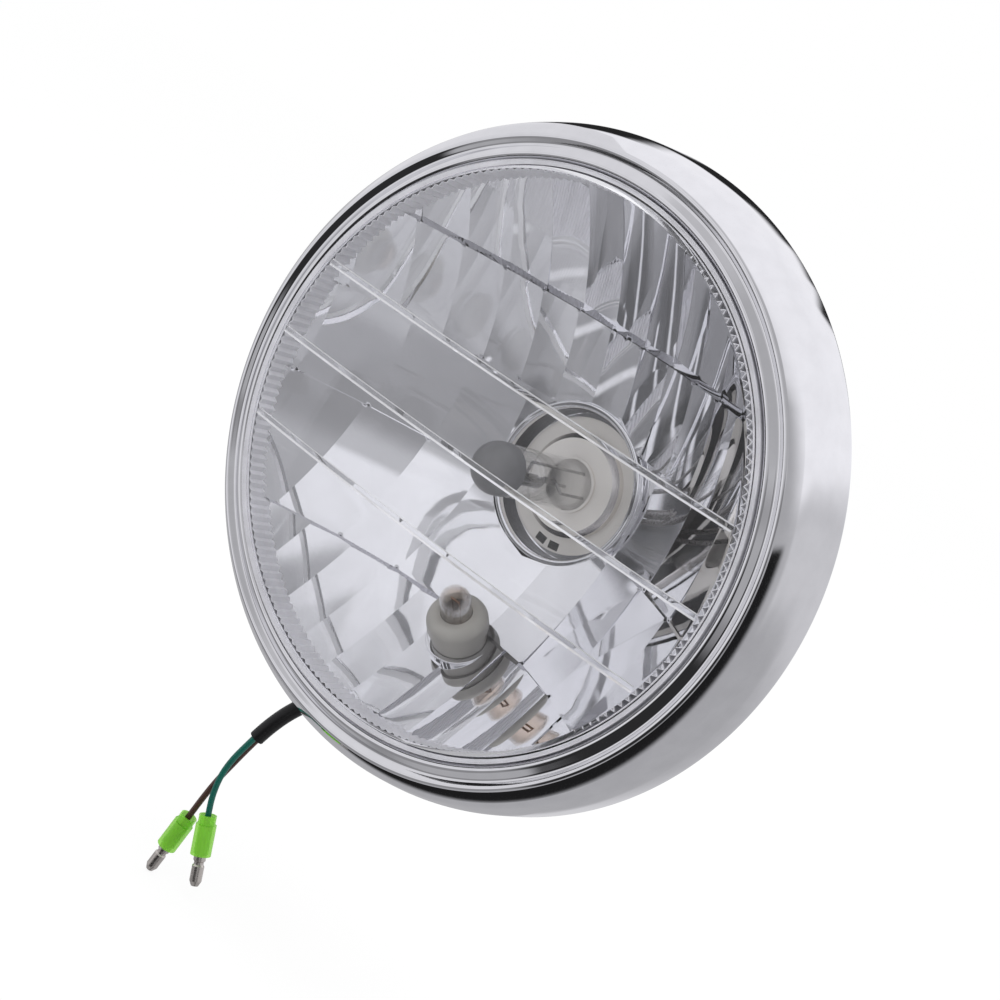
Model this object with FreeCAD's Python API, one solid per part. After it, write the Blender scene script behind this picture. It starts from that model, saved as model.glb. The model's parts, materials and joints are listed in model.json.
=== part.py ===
"""Round motorcycle headlight insert: chrome rim, clear lens, stepped facet mirror, main and parking bulbs.

The lamp faces -Y with +Z up. The origin is on the optical axis, in the plane of the rim's rear edge,
which meets the mouth of the headlight bucket. All sizes are in millimetres.
"""
import FreeCAD
import Part

import math
import os

V = FreeCAD.Vector
AXIS = V(0, 1, 0)

# Clearances
seat_gap = 0.3          # between pieces that are clamped or pressed together over a curve
fit_gap = 0.15          # all round a piece that sits inside another

# Rim, a spun sheet ring
lens_radius = 83.2      # outside of the lens where it passes through the rim
lip_gap = 0.5
lip_roll = 1.5
bevel_width = 4.3       # sloping face between the lip and the groove
ridge_width = 2.2       # from the groove out to the ridge
rim_flare = 8.2         # how much wider the rear edge is than the ridge
rim_depth = 24.0        # ridge to rear edge
rim_sheet = 0.8
lip_lead = 2.1          # the lip stands in front of the ridge
groove_depth = 0.6
ridge_lead = 1.2
groove_roll = 1.0
ridge_roll = 1.3
wall_bends = ((0.6, 0.22, 9.0), (0.9, 0.55, 24.0))   # shares of the flare and the depth, then the radius
hem_width = 3.0         # flange turned in at the rear edge
hem_roll = 1.4

# Lens, one clear moulding
lens_crown = 5.0        # rise of the dome
lens_proud = 1.9        # the dome's edge stands in front of the lip
lens_wall = 2.2
lens_corner = 3.0
flange_setback = 1.5    # lens flange behind the rim's groove
flange_reach = 5.4
flange_thickness = 3.0
tongue_offset = 0.8
tongue_width = 2.2
tongue_length = 5.0
knurl_count = 200
knurl_depth = 0.7
knurl_land = 0.25       # the teeth stop this far short of a point
knurl_setback = 0.6     # behind the lens corner
rib_heights = (22.5, -1.5, -26.5)   # three straight ribs inside the dome
rib_width = 1.6
rib_depth = 1.0

# Mirror, a parabola with stepped zones of upright flutes
mirror_inset = 2.4      # edge of the mirror inside the lens's outside
mirror_focus = 35.0
mirror_depth = 46.6     # from the mirror's edge back to the parabola's vertex
mirror_wall = 2.4
mirror_lip = 1.65       # step from the channel's top back to the mirror's edge
zone_edges = (-49.0, -12.5, 17.0, 45.0)
zone_advance = (1.1, -1.1, 1.1, -1.1, 1.1)
zone_flute_width = (11.6, 17.4, 17.4, 11.6, 11.6)
flute_rise = 0.45
back_cones = 8          # cones that follow the parabola behind the mirror
channel_gap = 0.4
channel_wall = 2.4
channel_floor = 2.0
channel_depth = 7.0
seal_cover = 2.0        # sealant up the sides of the lens tongue

# Neck of the mirror and the main bulb
bulb_drop = 2.0         # bulb's axis below the lens's axis
neck_room = 1.3         # neck's bore round the bulb's flange
neck_wall = 5.4         # round the recess for the flange
neck_lip_width = 2.2
neck_lip_rise = 2.2
ledge_overlap = 0.6     # of the bulb's flange on its ledge
ledge_setback = 4.0     # behind the mouth of the neck
ledge_thickness = 1.2
neck_tail = 4.4         # neck behind the ledge
flange_radius = 21.5
bulb_flange = 1.2
lug_width = 6.0
lug_reach = 0.6
flange_slot = (2.4, 3.6)    # along and across the radius
flange_slot_inset = 2.3
flange_slot_angles = (264, 279)
collar_inset = 5.7      # collar inside the flange's edge
collar_bevel = 1.6
collar_wall = 1.0
collar_height = 4.0
cup_wall = 0.8
cup_height = 1.0
bulb_radius = 7.6
bulb_wall = 0.9
bulb_length = 52.0      # from the flange to the tip
tip_length = 10.0
tip_paint = 0.12
base_radius = 13.0
base_length = 12.0
insulator_radius = 12.0
insulator_length = 6.0
blade_width = 8.0
blade_thickness = 0.8
blade_length = 11.0
blade_offset = 7.0
blade_hole = 2.4
blade_hole_setback = 4.0
blade_root = 1.0        # from the front of the insulator's tail to the blade's end inside it
blade_drop = 1.0        # side blades below the axis
support_radius = 0.45
support_spread = 4.2
shield_radius = 3.3
shield_wall = 0.3
shield_length = 7.5
coil_radius = 0.75
coil_length = 5.5
dipped_setback = 23.0   # front of the dipped-beam coil behind the tip
coil_pitch = 10.0       # from the dipped-beam coil to the main-beam coil
spring_wire = 1.2
spring_inset = 5.0      # bail inside the flange's edge
screw_thread = 1.2
screw_head = 2.3
screw_head_height = 1.6
screw_length = 5.0
screw_end_gap = 0.5
boot_wall = 2.2
boot_cuff = 7.0
boot_room = 5.5
boot_bead = 0.8
boot_bead_width = 2.5
boot_fillet = 0.7
boot_shoulder = 5.0     # width of the sloping shoulder's inner end round the bulb's base
boot_slope = 1.0
boot_lip_setback = 1.5

# Parking bulb, through the mirror's wall below the main bulb
parking_aside = 3.5
parking_height = -54.6
parking_tilt = 6.0      # leans up from square to the mirror, in degrees
parking_boss = 10.0
parking_boss_rise = 0.6
parking_boss_back = 5.6
parking_hole = 8.0
holder_head = 9.1
holder_head_height = 11.2
holder_shoulder = 3.5   # radius of the rounded shoulder
holder_tail = 6.4
holder_tail_length = 9.0
holder_bead = 9.6
holder_bead_height = 1.8
holder_skirt = 0.9      # lower part inside the head's outside
holder_skirt_height = 5.0
holder_taper = 1.2
parking_bulb_radius = 4.6
parking_bulb_wall = 0.6
parking_bulb_show = 9.7
parking_bulb_sunk = 7.0
parking_foot = 2.5
parking_wire = 0.25
parking_coil = 0.35
parking_wire_spread = 1.6

# Spring clips that press the lens unit into the rim
clip_count = 4
clip_start = 45.0
clip_width = 10.0
clip_sheet = 0.8
clip_foot = 3.4
clip_bend = 1.2
clip_overhang = 1.2     # past the edge of the lens unit
clip_slack = 2.4        # inside the hem where the strip turns out
clip_end_gap = 0.9

# Rim tabs that take the two side screws, and the hook at the top
tab_angles = (-28.0, 208.0)
tab_width = 15.0
tab_sheet = 1.2
tab_length = 12.0
tab_foot = 2.9
tab_setback = 1.6       # tongue inside the hem
tab_bend = 1.4
tab_hole = 2.1          # wall of an M5 thread
tab_hole_setback = 6.0
nut_radius = 4.6
nut_height = 3.6
hook_angle = 90.0
hook_width = 18.0
hook_rise = 3.0
hook_bend = 1.6

# Lead of the parking bulb: a sleeve, two wires, two bullet connectors
sleeve_radius = 2.5
sleeve_mouth_depth = 6.0
sleeve_mouth_wall = 0.35
wire_radius = 1.0
connector_radius = 3.3
connector_bore = 2.3
connector_length = 13.0
connector_neck = 0.5    # step in the outside at the wire's end
connector_neck_length = 3.0
barrel_inset = 3.2
bullet_radius = 1.95
bullet_length = 10.0
bullet_neck = 1.55
bullet_tip = 0.8
bullet_tip_wall = 0.4
bullet_nose = 1.6
bullet_bore = 4.0
bullet_waist = 3.0      # from the sleeve's end to the waist
bullet_waist_width = 0.8
bullet_shoulder = 0.5
sleeve_exit = 9.0       # straight run out of the holder's tail
sleeve_bends = [(-0.1, 32.5, -78.1), (-6.1, 35.9, -83.2), (-13.8, 36.3, -86.9), (-21.4, 33.2, -89.6),
                (-27.6, 27.4, -92.8), (-32.6, 17.6, -98.6), (-37.0, 11.0, -106.2), (-40.4, 7.6, -115.2),
                (-41.9, 6.7, -120.8)]
wire_exit = 3.2         # straight run of each wire out of the sleeve
green_bends = [(-45.2, 5.2, -131.5), (-46.2, 5.4, -138.5), (-45.6, 5.9, -145.5)]
brown_bends = [(-45.4, 7.6, -132.0), (-48.2, 7.8, -141.0), (-49.8, 7.6, -149.5)]
green_connector = ((-43.9, 6.4, -151.2), (-39.7, 7.0, -163.4))
brown_connector = ((-50.8, 7.4, -156.6), (-52.7, 7.0, -169.2))

# Levels along the axis that several pieces share
ridge_y = -rim_depth
groove_y = ridge_y + groove_depth
lip_y = ridge_y - lip_lead
opening_radius = lens_radius + lip_gap
groove_radius = opening_radius + bevel_width
ridge_radius = groove_radius + ridge_width
rim_radius = ridge_radius + rim_flare
flange_front = groove_y + flange_setback
flange_back = flange_front + flange_thickness
dome_edge_y = lip_y - lens_proud
lens_front = dome_edge_y - lens_crown
tongue_inner = lens_radius + tongue_offset
tongue_outer = tongue_inner + tongue_width
tongue_end = flange_back + tongue_length
channel_top = flange_back + seat_gap
channel_bottom = channel_top + channel_depth
channel_inner = tongue_inner - channel_gap
channel_outer = tongue_outer + channel_gap
unit_radius = channel_outer + channel_wall
unit_back = channel_bottom + channel_floor
mirror_edge_y = channel_top + mirror_lip
mirror_radius = lens_radius - mirror_inset
vertex_y = mirror_edge_y + mirror_depth
neck_bore = flange_radius + neck_room
ledge_bore = flange_radius - ledge_overlap
recess_radius = flange_radius + lug_reach + seat_gap
neck_outer = recess_radius + neck_wall
flange_slot_radius = flange_radius - flange_slot_inset
collar_radius = flange_radius - collar_inset
spring_radius = flange_radius - spring_inset


def mirror_y(radius):
    """Depth of the plain parabola at a distance from the axis."""
    return vertex_y - radius ** 2 / (4 * mirror_focus)


neck_mouth = mirror_y(neck_bore) - neck_lip_rise
ledge_front = mirror_y(neck_bore) + ledge_setback
ledge_back = ledge_front + ledge_thickness
neck_back = ledge_back + neck_tail
flange_y = ledge_back + fit_gap
flange_rear = flange_y + bulb_flange
bulb_tip = flange_y - bulb_length
base_end = flange_rear + base_length
insulator_end = base_end + insulator_length
spring_screw_radius = (recess_radius + neck_outer) / 2
dipped_front = bulb_tip + dipped_setback
main_front = dipped_front + coil_pitch
leg_offset = support_radius + fit_gap
parking_slope = math.atan2(-parking_height, 2 * mirror_focus) + math.radians(parking_tilt)
parking_origin = V(parking_aside, mirror_y(math.hypot(parking_aside, parking_height)), parking_height)


def rounded_edges(points, radii):
    """Straight runs joined by tangent arcs, with one radius for each inner point."""
    edges = []
    start = points[0]
    for before, corner, after, radius in zip(points, points[1:], points[2:], radii):
        to_before = (before - corner).normalize()
        to_after = (after - corner).normalize()
        half_angle = to_before.getAngle(to_after) / 2
        reach = radius / math.tan(half_angle)
        middle = (to_before + to_after).normalize()
        arc_start = corner + to_before * reach
        arc_end = corner + to_after * reach
        arc_middle = corner + middle * (radius / math.sin(half_angle) - radius)
        edges.append(Part.LineSegment(start, arc_start).toShape())
        edges.append(Part.Arc(arc_start, arc_middle, arc_end).toShape())
        start = arc_end
    edges.append(Part.LineSegment(start, points[-1]).toShape())
    return edges


def turned(points):
    """Solid of revolution about the lamp's axis from a closed outline of (radius, y)."""
    corners = [V(radius, y, 0) for radius, y in points]
    face = Part.Face(Part.makePolygon(corners + corners[:1]))
    return face.revolve(V(0, 0, 0), AXIS, 360)


def spun_sheet(points, radii, sheet):
    """Sheet of even thickness turned from an open outline, thickened towards the inside."""
    path = Part.Wire(rounded_edges([V(radius, y, 0) for radius, y in points], radii))
    section = path.makeOffset2D(-sheet, 0, True, True, True)
    return section.revolve(V(0, 0, 0), AXIS, 360)


def tube(inner, outer, front, back):
    """Plain ring about the lamp's axis."""
    return turned([(inner, front), (outer, front), (outer, back), (inner, back)])


def disc(radius, front, back):
    """Plain round bar on the lamp's axis."""
    return Part.makeCylinder(radius, back - front, V(0, front, 0), AXIS)


def around(shape, angle):
    """Copy of a shape turned about the lamp's axis, from +X towards +Z."""
    copy = shape.copy()
    copy.rotate(V(0, 0, 0), AXIS, -angle)
    return copy


def bent_strip(points, radii, sheet, width):
    """Sheet strip with a (radius, y) outline on the +X side, centred on z = 0."""
    path = Part.Wire(rounded_edges([V(radius, y, 0) for radius, y in points], radii))
    section = path.makeOffset2D(sheet, 0, True, True, True)
    section.translate(V(0, 0, -width / 2))
    return section.extrude(V(0, 0, width))


def rim():
    """Chromed rim: rolled lip, bevel, groove, ridge, flared wall and turned-in rear hem."""
    crest_y = ridge_y - ridge_lead
    wall = [(ridge_radius + flare * rim_flare, crest_y * (1 - depth)) for flare, depth, bend in wall_bends]
    outline = [(opening_radius, flange_front - seat_gap), (opening_radius, lip_y), (groove_radius, groove_y),
               (ridge_radius, crest_y)] + wall + [(rim_radius, 0), (rim_radius - hem_width, 0)]
    radii = [lip_roll, groove_roll, ridge_roll] + [bend for flare, depth, bend in wall_bends] + [hem_roll]
    return spun_sheet(outline, radii, rim_sheet)


def knurl_cutter():
    """Toothed core that cuts the fine upright knurl inside the lens skirt."""
    inner = lens_radius - lens_wall
    front = dome_edge_y + lens_corner + knurl_setback
    corners = []
    for tooth in range(knurl_count):
        for share, radius in ((0.0, inner - knurl_land), (0.5, inner + knurl_depth)):
            turn = 2 * math.pi * (tooth + share) / knurl_count
            corners.append(V(radius * math.cos(turn), front, radius * math.sin(turn)))
    face = Part.Face(Part.makePolygon(corners + corners[:1]))
    return face.extrude(V(0, channel_top - front, 0))


def dome_ball(setback, inset):
    """Ball whose front is the lens dome, moved back and made smaller."""
    crown_radius = lens_radius - lens_corner
    sphere = (crown_radius ** 2 + lens_crown ** 2) / (2 * lens_crown)
    return Part.makeSphere(sphere - inset, V(0, lens_front + setback + sphere, 0))


def lens_skirt():
    """Rim of the lens: rounded corner, skirt, clamped flange and the tongue that sits in sealant."""
    inner = lens_radius - lens_wall
    crown_radius = lens_radius - lens_corner
    corner_y = dome_edge_y + lens_corner
    corner_middle = lens_corner * (1 - math.sqrt(0.5))
    corner = Part.Arc(V(crown_radius, dome_edge_y, 0),
                      V(lens_radius - corner_middle, dome_edge_y + corner_middle, 0),
                      V(lens_radius, corner_y, 0)).toShape()
    steps = [
        (lens_radius, corner_y), (lens_radius, flange_front), (lens_radius + flange_reach, flange_front),
        (lens_radius + flange_reach, flange_back), (tongue_outer, flange_back), (tongue_outer, tongue_end),
        (tongue_inner, tongue_end), (tongue_inner, flange_back), (inner, flange_back), (inner, corner_y),
        (crown_radius, dome_edge_y + lens_wall), (crown_radius, dome_edge_y),
    ]
    corners = [V(radius, y, 0) for radius, y in steps]
    lines = [Part.LineSegment(a, b).toShape() for a, b in zip(corners, corners[1:])]
    return Part.Face(Part.Wire([corner] + lines)).revolve(V(0, 0, 0), AXIS, 360)


def lens():
    """Clear lens: domed window with straight ribs inside it, on its knurled skirt."""
    crown_radius = lens_radius - lens_corner
    blank = disc(crown_radius, lens_front - 1, dome_edge_y + lens_wall)
    window = blank.common(dome_ball(0, 0)).cut(dome_ball(lens_wall, 0))
    ribs = []
    for height in rib_heights:
        half_length = math.sqrt(crown_radius ** 2 - (abs(height) + rib_width) ** 2)
        bar = Part.makeBox(2 * half_length, lens_crown + lens_wall + rib_depth, rib_width,
                           V(-half_length, lens_front, height - rib_width / 2))
        ribs.append(bar.common(dome_ball(lens_wall / 2, 0)).cut(dome_ball(lens_wall, rib_depth)))
    return window.fuse([lens_skirt().cut(knurl_cutter())] + ribs).removeSplitter()


def lens_seal():
    """Bead of sealant that fills the channel round the lens tongue."""
    bead = tube(channel_inner + fit_gap, channel_outer - fit_gap, tongue_end - seal_cover,
                channel_bottom - fit_gap)
    tongue = tube(tongue_inner - fit_gap, tongue_outer + fit_gap, flange_back, tongue_end + fit_gap)
    return bead.cut(tongue)


def zone_strips(zone, half_width):
    """Edges of a zone's upright flutes, symmetrical about the middle flute."""
    width = zone_flute_width[zone]
    inner = [side * (0.5 + step) * width for side in (-1, 1) for step in range(int(half_width / width + 0.5))]
    return [-half_width] + sorted(edge for edge in inner if abs(edge) < half_width - 1) + [half_width]


def bezier_values(function, slope, low, high):
    """Three control values of a quadratic between two places."""
    return (function(low), function(low) + slope(low) * (high - low) / 2, function(high))


def flute_face(zone, left, right, low, high):
    """One mirror facet: the parabola with the flute's own bulge across it."""
    middle = (left + right) / 2
    half = (right - left) / 2
    quarter = 4 * mirror_focus

    def across(x):
        return -x ** 2 / quarter - flute_rise * (1 - ((x - middle) / half) ** 2)

    def across_slope(x):
        return -2 * x / quarter + 2 * flute_rise * (x - middle) / half ** 2

    along = bezier_values(lambda z: vertex_y + zone_advance[zone] - z ** 2 / quarter,
                          lambda z: -2 * z / quarter, low, high)
    cross = bezier_values(across, across_slope, left, right)
    surface = Part.BezierSurface()
    surface.increase(2, 2)
    for column, x in enumerate((left, middle, right)):
        for row, z in enumerate((low, (low + high) / 2, high)):
            surface.setPole(column + 1, row + 1, V(x, cross[column] + along[row], z))
    return surface.toShape()


def planar_wall(edges, front, at):
    """Flat face between a chain of facet edges and the plane y = front."""
    ends = [vertex.Point for edge in edges for vertex in edge.Vertexes]
    first = min(ends, key=at)
    last = max(ends, key=at)
    low = V(first.x, front, first.z)
    high = V(last.x, front, last.z)
    frame = [(first, low), (low, high), (high, last)]
    lines = [Part.LineSegment(a, b).toShape() for a, b in frame]
    return Part.Face(Part.Wire(Part.__sortEdges__(edges + lines)))


def mirror_core():
    """Solid that fills the bowl in front of the stepped and fluted mirror."""
    half = mirror_radius + 1
    front = vertex_y - half ** 2 / (2 * mirror_focus) - 10
    levels = (-half,) + zone_edges + (half,)
    columns = []
    for zone, (low, high) in enumerate(zip(levels, levels[1:])):
        edges = zone_strips(zone, half)
        faces = [flute_face(zone, a, b, low, high) for a, b in zip(edges, edges[1:])]
        walls = []
        for level in (low, high):
            chain = [e for f in faces for e in f.Edges if all(abs(v.Z - level) < 1e-6 for v in e.Vertexes)]
            walls.append(planar_wall(chain, front, lambda p: p.x))
        for side in (-half, half):
            chain = [e for f in faces for e in f.Edges if all(abs(v.X - side) < 1e-6 for v in e.Vertexes)]
            walls.append(planar_wall(chain, front, lambda p: p.z))
        cap = Part.makePolygon([V(-half, front, low), V(half, front, low), V(half, front, high),
                                V(-half, front, high), V(-half, front, low)])
        shell = Part.makeShell(faces + walls + [Part.Face(cap)])
        shell.sewShape()
        columns.append(Part.makeSolid(Part.makeShell(shell.Faces)))
    bowl = disc(mirror_radius, front + 1, vertex_y + 5)
    return [column.common(bowl) for column in columns]


def parking_local(shape):
    """Move a shape turned about +Z at the origin onto the parking bulb's seat, square to the mirror."""
    copy = shape.copy()
    copy.rotate(V(0, 0, 0), V(1, 0, 0), 90 - math.degrees(parking_slope))
    copy.translate(parking_origin)
    return copy


def parking_rod(radius, low, high):
    """Round bar on the parking bulb's axis, by its heights above the mirror."""
    return parking_local(Part.makeCylinder(radius, high - low, V(0, 0, low)))


def lowered(shape):
    """Copy of a shape moved down from the lens's axis to the main bulb's axis."""
    copy = shape.copy()
    copy.translate(V(0, 0, -bulb_drop))
    return copy


def mirror_back(radius):
    """Depth of the bowl's back face, one wall behind the parabola."""
    steepness = radius / (2 * mirror_focus)
    return mirror_y(radius) + mirror_wall * math.sqrt(1 + steepness ** 2) + max(zone_advance)


def reflector():
    """Moulded bowl with the mirror facets, the lens channel, the bulb neck and the parking boss."""
    inner_edge = channel_inner - channel_wall
    back_step = (inner_edge - neck_outer) / back_cones
    back_radii = [neck_outer + step * back_step for step in range(back_cones + 1)]
    back = [(radius, mirror_back(radius)) for radius in back_radii]
    block = turned(back + [
        (inner_edge, unit_back), (unit_radius, unit_back), (unit_radius, channel_top),
        (channel_outer, channel_top), (channel_outer, channel_bottom), (channel_inner, channel_bottom),
        (channel_inner, channel_top), (0, channel_top), (0, back[0][1]),
    ])
    neck = disc(neck_outer, back[0][1] - mirror_wall, neck_back)
    neck_lip = tube(neck_bore, neck_bore + neck_lip_width, neck_mouth, ledge_back)
    boss = parking_rod(parking_boss, -parking_boss_back, parking_boss_rise)
    bowl = block.cut(mirror_core()).fuse([lowered(neck), lowered(neck_lip), boss]).removeSplitter()
    bores = [
        disc(neck_bore, neck_mouth - 5, ledge_front),
        disc(ledge_bore, ledge_front - 1, neck_back),
        disc(recess_radius, ledge_back, neck_back + 1),
    ]
    bores += [spring_pilot(side) for side in (-1, 1)]
    parking_bore = parking_rod(parking_hole, -parking_boss_back - 4, parking_boss_rise + 1)
    parking_face = parking_rod(parking_boss, parking_boss_rise, parking_boss_rise + parking_boss)
    return bowl.cut([lowered(bore) for bore in bores] + [parking_bore, parking_face])


def spring_pilot(side):
    """Blind hole in the rear of the neck for a spring screw."""
    mouth = V(side * spring_screw_radius, neck_back, 0)
    return Part.makeCylinder(screw_thread + fit_gap, screw_length, mouth, V(0, -1, 0))


def bulb_glass():
    """Round-ended glass envelope of the main bulb, open at the base."""
    def bullet(radius, tip, end):
        body = disc(radius, tip + radius, end)
        return body.fuse(Part.makeSphere(radius, V(0, tip + radius, 0))).removeSplitter()

    outside = bullet(bulb_radius, bulb_tip, flange_y)
    return outside.cut(bullet(bulb_radius - bulb_wall, bulb_tip + bulb_wall, flange_y + 1))


def bulb_tip_cap():
    """Anti-dazzle coat over the bulb's tip."""
    outer = bulb_radius + fit_gap + tip_paint
    inner = bulb_radius + fit_gap
    centre = V(0, bulb_tip + bulb_radius, 0)
    cap = Part.makeSphere(outer, centre).fuse(disc(outer, centre.y, bulb_tip + tip_length))
    hollow = Part.makeSphere(inner, centre).fuse(disc(inner, centre.y, bulb_tip + tip_length + 1))
    front = disc(outer + 1, bulb_tip - 2, bulb_tip + tip_length)
    return cap.common(front).cut(hollow)


def bulb_base():
    """Pressed metal base: flange with three lugs and two slots, collar, glass cup and rear barrel."""
    cup_inner = bulb_radius + fit_gap
    flange = disc(flange_radius, flange_y, flange_rear)
    lug = Part.makeBox(flange_radius + lug_reach, bulb_flange, lug_width, V(0, flange_y, -lug_width / 2))
    lugs = [around(lug, angle) for angle in (90, 210, 330)]
    front = flange_y - collar_height
    inside = collar_radius - collar_wall
    shoulder = collar_radius - collar_bevel
    collar = turned([
        (cup_inner, front), (shoulder, front), (collar_radius, front + collar_bevel), (collar_radius, flange_y),
        (inside, flange_y), (inside, front + collar_bevel + collar_wall / 2), (shoulder, front + collar_wall),
        (cup_inner, front + collar_wall),
    ])
    cup = tube(cup_inner, cup_inner + cup_wall, front - cup_height, front + collar_wall)
    barrel = tube(base_radius - collar_wall, base_radius, flange_rear, base_end)
    base = flange.fuse(lugs + [collar, cup, barrel]).removeSplitter()
    slot = Part.makeBox(flange_slot[0], bulb_flange + 2, flange_slot[1],
                        V(flange_slot_radius - flange_slot[0] / 2, flange_y - 1, -flange_slot[1] / 2))
    return base.cut([around(slot, angle) for angle in flange_slot_angles])


def bulb_insulator():
    """Moulded disc that closes the base and carries the blades and the support wires."""
    plug = disc(base_radius - collar_wall - fit_gap, flange_rear + fit_gap, base_end)
    tail = disc(insulator_radius, base_end, insulator_end)
    pockets = [blade_box(place, fit_gap) for place in range(3)]
    return plug.fuse(tail).removeSplitter().cut(pockets)


def blade_box(place, margin):
    """Space of one connector blade: two upright at the sides and one level at the top."""
    width = blade_width + 2 * margin
    thick = blade_thickness + 2 * margin
    start = base_end + blade_root - margin
    length = insulator_end + blade_length - start
    if place == 2:
        return Part.makeBox(width, length, thick, V(-width / 2, start, blade_offset - thick / 2))
    side = (-1, 1)[place]
    corner = V(side * blade_offset - thick / 2, start, -width / 2 - blade_drop)
    return Part.makeBox(thick, length, width, corner)


def bulb_terminals():
    """Three flat blades with a retaining hole near the end of each."""
    blades = []
    hole_y = insulator_end + blade_length - blade_hole_setback
    for place in range(3):
        blade = blade_box(place, 0)
        centre = blade.BoundBox.Center
        along = V(0, 0, 1) if place == 2 else V(1, 0, 0)
        hole = Part.makeCylinder(blade_hole / 2, 4, V(centre.x, hole_y, centre.z) - along * 2, along)
        blades.append(blade.cut(hole))
    return Part.makeCompound(blades)


def bulb_supports():
    """Three lead wires that stand on the base, each with legs that reach in to the ends of the coils."""
    legs = (
        (90, [dipped_front - leg_offset]),
        (210, [dipped_front + coil_length + leg_offset, main_front - leg_offset]),
        (330, [main_front + coil_length + leg_offset]),
    )
    supports = []
    for angle, levels in legs:
        front = min(levels)
        rod = Part.makeCylinder(support_radius, flange_y - front, V(support_spread, front, 0), AXIS)
        reach = support_spread - coil_radius / 2
        arms = [Part.makeCylinder(support_radius, reach, V(support_spread, level, 0), V(-1, 0, 0))
                for level in levels]
        arms.append(Part.makeSphere(support_radius, V(support_spread, front, 0)))
        supports.append(around(rod.fuse(arms).removeSplitter(), angle))
    return Part.makeCompound(supports)


def bulb_shield():
    """Open half-cup below the dipped-beam coil, standing on a support's leg."""
    back = dipped_front + coil_length
    front = back - shield_length
    cup = disc(shield_radius, front, back)
    hollow = disc(shield_radius - shield_wall, front + shield_wall, back + 1)
    lower = Part.makeBox(4 * shield_radius, shield_length + 2, shield_radius,
                         V(-2 * shield_radius, front - 1, -shield_radius))
    return cup.cut(hollow).common(lower)


def bulb_filaments():
    """The dipped-beam and main-beam coils, one behind the other."""
    fronts = (dipped_front, main_front)
    return Part.makeCompound([disc(coil_radius, front, front + coil_length) for front in fronts])


def wire_run(points, radius):
    """Round wire through a row of points, with a ball at each bend."""
    rods = [Part.makeCylinder(radius, (b - a).Length, a, b - a) for a, b in zip(points, points[1:])]
    balls = [Part.makeSphere(radius, point) for point in points[1:-1]]
    return rods[0].fuse(rods[1:] + balls)


def bulb_spring():
    """Wire bail that presses the bulb flange onto its ledge, with an arm under each screw's head."""
    wire = spring_wire / 2
    ring_y = flange_rear + wire + fit_gap
    arm_y = neck_back + wire + fit_gap
    beside = screw_thread + wire + fit_gap
    bends = [math.radians(angle) for angle in range(0, 405, 45)]
    loop = [V(spring_radius * math.cos(turn), ring_y, spring_radius * math.sin(turn)) for turn in bends]
    arms = []
    for side in (-1, 1):
        rise = side * (recess_radius - wire - seat_gap)
        path = [V(side * spring_radius, ring_y, 0), V(rise, ring_y, beside), V(rise, arm_y, beside),
                V(side * (spring_screw_radius + wire), arm_y, beside)]
        arms.append(wire_run(path, wire))
    joint = Part.makeSphere(wire, loop[0])
    return wire_run(loop, wire).fuse(arms + [joint]).removeSplitter()


def spring_screws():
    """Two pan-head screws in the rear of the neck."""
    head_y = neck_back + spring_wire + 2 * fit_gap
    screws = []
    for side in (-1, 1):
        at = V(side * spring_screw_radius, head_y, 0)
        head = Part.makeCylinder(screw_head, screw_head_height, at, AXIS)
        reach = screw_length - screw_end_gap + head_y - neck_back
        shank = Part.makeCylinder(screw_thread, reach, at, V(0, -1, 0))
        screws.append(head.fuse(shank).removeSplitter())
    return Part.makeCompound(screws)


def dust_boot():
    """Rubber boot that grips the neck and the bulb's base."""
    cuff_inner = neck_outer + fit_gap
    cuff_outer = cuff_inner + boot_wall
    shoulder = neck_back + boot_room
    throat = insulator_radius + fit_gap
    collar_inner = base_radius + fit_gap
    front = neck_back - boot_cuff
    bead_end = front + boot_bead_width
    return turned([
        (cuff_inner, front), (cuff_outer + boot_bead, front), (cuff_outer + boot_bead, bead_end),
        (cuff_outer, bead_end + boot_fillet), (cuff_outer, shoulder),
        (collar_inner + boot_shoulder, shoulder + boot_wall + boot_slope),
        (collar_inner + boot_wall, base_end - boot_slope),
        (throat + boot_wall, insulator_end - boot_lip_setback),
        (throat, insulator_end - boot_lip_setback), (throat, base_end + fit_gap),
        (collar_inner, base_end + fit_gap), (collar_inner, shoulder + boot_slope),
        (cuff_inner, shoulder - boot_wall + boot_slope / 2),
    ])


def parking_holder():
    """Soft push-in holder whose waist grips the hole in the mirror's boss."""
    waist = parking_hole - fit_gap
    head_base = parking_boss_rise + seat_gap
    head_top = head_base + holder_head_height
    bead_top = -parking_boss_back - seat_gap
    bead_end = bead_top - holder_bead_height
    mouth = parking_bulb_radius + fit_gap
    skirt_top = head_base + holder_skirt_height
    skirt = holder_head - holder_skirt
    tail_end = bead_end - holder_tail_length
    floor = head_top - parking_bulb_sunk - fit_gap
    head = [V(mouth, 0, head_top), V(holder_head, 0, head_top), V(holder_head, 0, skirt_top)]
    steps = [
        (holder_head, skirt_top), (skirt, skirt_top), (skirt, head_base), (waist, head_base), (waist, bead_top),
        (holder_bead, bead_top), (holder_bead, bead_end), (holder_tail, bead_end),
        (holder_tail - holder_taper, tail_end), (0, tail_end), (0, floor), (mouth, floor), (mouth, head_top),
    ]
    corners = [V(radius, 0, height) for radius, height in steps]
    lines = [Part.LineSegment(a, b).toShape() for a, b in zip(corners, corners[1:])]
    face = Part.Face(Part.Wire(rounded_edges(head, [holder_shoulder]) + lines))
    return parking_local(face.revolve(V(0, 0, 0), V(0, 0, 1), 360))


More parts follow.
